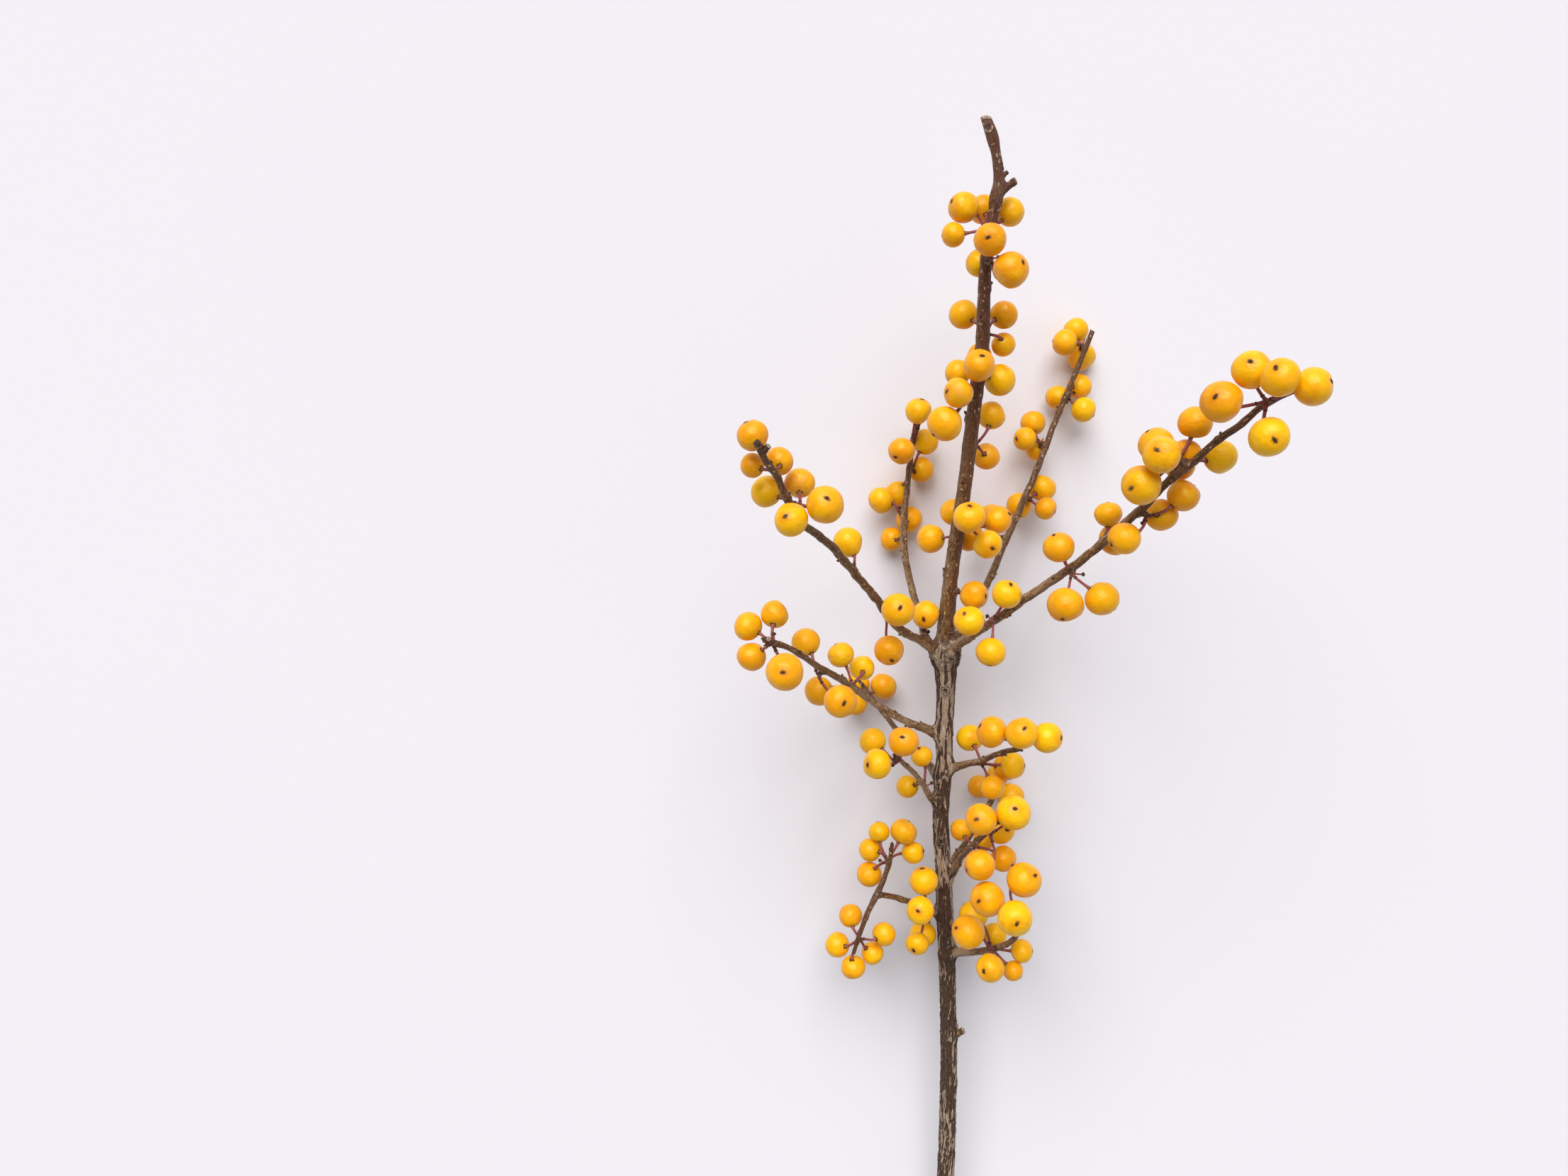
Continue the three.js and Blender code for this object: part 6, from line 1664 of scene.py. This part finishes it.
made = {}
for piece, members in PIECES.items():
    part = Part("piece_" + piece, ["bark"])
    for name in members:
        stem = stems[name]
        s = stem.s[:, None]
        t0, t1 = TONE[name]
        part_way = s / stem.s[-1]
        end = ENDS[name]
        if name == "main_stem":
            to_fork = s - fork
            q = stem.straight()
            age = smooth(7.5, 1.5, to_fork + 1.6 * noise(q * [0.3, 0.3, 0.1], 91)) * np.ones((1, stem.sides))
            coarse = smooth(-48, -8, to_fork) * 0.72 + 0.3 * smooth(0.1, 0.5, noise(q * [0.05, 0.05, 0.02], 92))
            coarse = np.clip(coarse, 0, 1)
            tone = t0 + (t1 - t0) * smooth(15, 150, to_fork)
            # the bark is nearly bare of its grey layer along one stretch
            bare = np.exp(-((to_fork + 63.0) / 10.0) ** 2) * 0.06 + np.exp(-((to_fork + 38.0) / 9.0) ** 2) * 0.28
            high = angle_of(stem, tip, (-0.85, 0.1, 0.5))
            stem.bare = bare
            stem.cracks = cracks
            skin(part, stem, age, coarse, tone, slope=0.55, high=high, end=end, start="foot")
        else:
            past = s - exits[name]
            old_part = 0.75 if PARENT.get(name) is None else 0.2
            age = old_part * smooth(5.5, 0.5, past + 2.0 * noise(stem.straight() * [0.5, 0.5, 0.25], stem.seed + 33)) * np.ones((1, stem.sides))
            tone = t0 + (t1 - t0) * part_way
            skin(part, stem, age, 0.6 + 0 * s, tone, end=end)
        if end in ("bud", "knobby"):
            size = float(np.clip(stem.r[-1] * 1.35, 0.95, 1.4))
            part_tip, out = stem.c[-1], stem.tan[-1]
            add_bud(part, part_tip - out * 0.25, out, size, stem.seed + 3, t1)
            a, b = frame_of(out)
            for k in range(3 if end == "knobby" else 2):
                ang = stem.seed % 6 + k * (2.1 if end == "knobby" else 3.0)
                d = a * math.cos(ang) + b * math.sin(ang)
                base = stem.c[-1] - out * (1.0 + 0.9 * k) + d * stem.r[-1] * 0.7
                if end == "knobby" and k != 1:
                    add_stub(part, base, d * 0.8 + out * 0.5, size * 0.62, 1.5 + 0.3 * k, stem.seed + k, t1, 0.8, sides=10)
                else:
                    add_bud(part, base, d * 0.75 + out * 0.7, size * 0.72, stem.seed + 11 + k, t1)
        for s_at, ang, size, seed in buds[name]:
            point, d, i = stem.place(s_at, ang, 0.15)
            part_tone = float(t0 + (t1 - t0) * s_at / stem.s[-1])
            add_bud(part, point, d * 0.75 + stem.tan[i] * 0.8, size * 0.95, seed, part_tone)
    if piece == "main_stem":
        for s_at, ang, radius, length, seed in stubs:
            point, d, i = main.place(s_at, ang, 0.1)
            add_stub(part, point, d * 0.85 + main.tan[i] * 0.5, radius, length, seed, 0.1)
        add_cut_shoot(part, low_path, low_radii, 61, 0.85)
        point, d, i = main.place(stub_high + 1.4, to_right + 0.25, -0.3)
        add_stub(part, point, d * 0.75 + main.tan[i] * 0.65, 0.66, 2.2, 62, 0.8, 0.7, sides=14)
    weld(part)
    made[piece] = (part, "bark_old" if piece == "main_stem" else "bark_young")

# ---------------------------------------------------------------------------
# Berry groups
# ---------------------------------------------------------------------------
for name, group in CLUSTERS.items():
    part = Part("piece_" + name, ["skin", "scar", "stalk", "dry", "bark"])
    seed = name_seed(name)
    rng = np.random.default_rng(seed)
    stem = stems[GROUP_STEM[name[len("berries_"):].rsplit("_", 1)[0]]]
    spur = np.array(group["spur"], float)
    s0, angle, i = stem.locate(spur)
    out = unit(spur - stem.c[i])
    foot = stem.c[i] + out * (stem.r[i] * 0.55)
    rise = float(np.linalg.norm(spur - foot))
    k = float(np.clip(stem.r[i] / 1.5, 0.72, 1.05))
    add_lathe(part, "bark", foot, out + 0.15 * stem.tan[i],
              [(0, 1.5 * k), (rise * 0.45, 1.42 * k), (rise * 0.62, 1.12 * k), (rise * 0.8, 1.2 * k), (rise, 1.05 * k), (rise + 0.35, 0.72 * k), (rise + 0.5, 0.3 * k)],
              14, 0.3, seed, age=0.35, tone=0.5, plate=0.55, dark=0.35)
    a, b = frame_of(out)
    mean = unit(np.mean([np.array(r[:3]) - spur for r in group["berries"]], axis=0) + 1e-6)
    for j in range(2):          # the buds that next year's leaves would grow from
        ang = rng.uniform(0, 6.28)
        d = a * math.cos(ang) + b * math.sin(ang)
        if d @ mean > 0.3:
            d = -d
        add_bud(part, spur + d * 0.55 * k - out * 0.1, unit(d * 0.8 + out * 0.5 + stem.tan[i] * 0.4), 0.62 * k, seed + 5 + j, 0.6)
    for j, (x, y, z, diameter, ax, ay, az) in enumerate(group["berries"]):
        axis = unit([ax, ay, az])
        centre = np.array([x, y, z])
        at, ba, bb, own = add_berry(part, centre, diameter, axis, group["squash"][j], seed * 31 + j * 101)
        add_calyx(part, at, axis, ba, bb, diameter / 2, own, seed + j)
        start = spur + out * 0.15 + unit(at - spur) * 0.35
        finish = at + axis * 0.2
        span = float(np.linalg.norm(finish - start))
        path = bezier(start, start + (unit(finish - start) * 0.55 + out * 0.35) * 0.36 * span, finish - axis * 0.36 * span, finish, 13)
        t = np.linspace(0, 1, 13)
        radii = 0.47 + 0.26 * np.exp(-(t / 0.13) ** 2) + 0.24 * smooth(0.70, 1.0, t)
        add_stalk(part, "stalk", path, radii * own.uniform(0.9, 1.12), 9, seed + j)
        # a small joint where the stalk's tiny leaf was
        knee = path[3]
        add_lathe(part, "dry", knee - unit(path[4] - path[2]) * 0.25, path[4] - path[2],
                  [(0, 0.46), (0.12, 0.62), (0.28, 0.66), (0.42, 0.60), (0.52, 0.46)], 9, 0.2, seed + j)
    # stalks that lost their berry, and some that dried up early
    for j in range(int(rng.integers(0, 3))):
        ang = rng.uniform(0, 6.28)
        d = unit(a * math.cos(ang) + b * math.sin(ang) + out * 0.7 - mean * 0.5)
        length = rng.uniform(1.2, 3.0)
        start = spur + d * 0.5
        path = bezier(start, start + d * length * 0.4, start + (d + stem.tan[i] * 0.2) * length * 0.7, start + (d + stem.tan[i] * 0.3) * length, 7)
        centres = np.array([r[:3] for r in group["berries"]])
        sizes = np.array([r[3] for r in group["berries"]]) / 2
        if (np.linalg.norm(path[-1] - centres, axis=1) < sizes + 0.9).any():
            continue
        add_stalk(part, "stalk", path, np.linspace(0.36, 0.27, 7), 7, seed + 50 + j)
        if rng.random() < 0.6:
            add_lathe(part, "dry", path[-1] - unit(path[-1] - path[-2]) * 0.2, path[-1] - path[-2],
                      [(0, 0.3), (0.2, 0.62), (0.5, 0.74), (0.8, 0.6), (1.05, 0.42), (1.2, 0.12)], 9, 0.5, seed + 60 + j)
    made[name] = (part, "berry_skin")

# ---------------------------------------------------------------------------
# Into the frame
# ---------------------------------------------------------------------------
for node, (part, finish_slot) in made.items():
    for v in part.v:
        np.maximum(v[:, 2], 0.0, out=v[:, 2])       # nothing reaches below the surface
    obj = part.make()
    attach(obj, "root")
    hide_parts(node)

# ---------------------------------------------------------------------------
# Floor and light
# ---------------------------------------------------------------------------
def floor_skin():
    g = Shader("floor")
    where = g.add("ShaderNodeTexCoord").outputs["Object"]
    n = g.noise(where, 2.2, 3.0, 0.5)
    fine = g.noise(where, 320.0, 3.0, 0.6)
    base = g.mix(n, colour(221, 219, 226), colour(224, 222, 229))
    g.set(Base_Color=base, Roughness=g.step(fine, 0.2, 0.8, 0.82, 0.92), Normal=g.bump(fine, 0.00004))
    g.set(Specular_IOR_Level=0.2)
    return g.material


size = 12.0
mesh = bpy.data.meshes.new("floor")
mesh.from_pydata([(-size, -size, 0), (size, -size, 0), (size, size, 0), (-size, size, 0)], [], [(0, 1, 2, 3)])
mesh.materials.append(floor_skin())
floor = bpy.data.objects.new("floor", mesh)
bpy.context.scene.collection.objects.link(floor)

world = bpy.data.worlds.new("studio")
bpy.context.scene.world = world
world.use_nodes = True
world.node_tree.nodes["Background"].inputs[0].default_value = (0.97, 0.97, 1.0, 1.0)
world.node_tree.nodes["Background"].inputs[1].default_value = 0.2


def soft_light(name, towards, power, tint, spread):
    """A large, far and even light that comes from the direction towards."""
    light = bpy.data.lights.new(name, "SUN")
    light.energy = power
    light.color = tint
    light.angle = math.radians(spread)
    obj = bpy.data.objects.new(name, light)
    bpy.context.scene.collection.objects.link(obj)
    d = unit(-np.array(towards, float))
    a = unit(np.cross(d, [0, 0, 1.0]))
    b = np.cross(a, d)
    obj.matrix_world = Matrix([[a[i], b[i], -d[i]] for i in range(3)]).to_4x4()
    return obj


soft_light("key", (-0.22, 1.0, 1.2), 3.9, (1.0, 0.99, 0.97), 52)
soft_light("fill", (0.9, -0.3, 1.2), 0.35, (0.97, 0.98, 1.0), 60)

bpy.context.scene.view_settings.view_transform = "Standard"
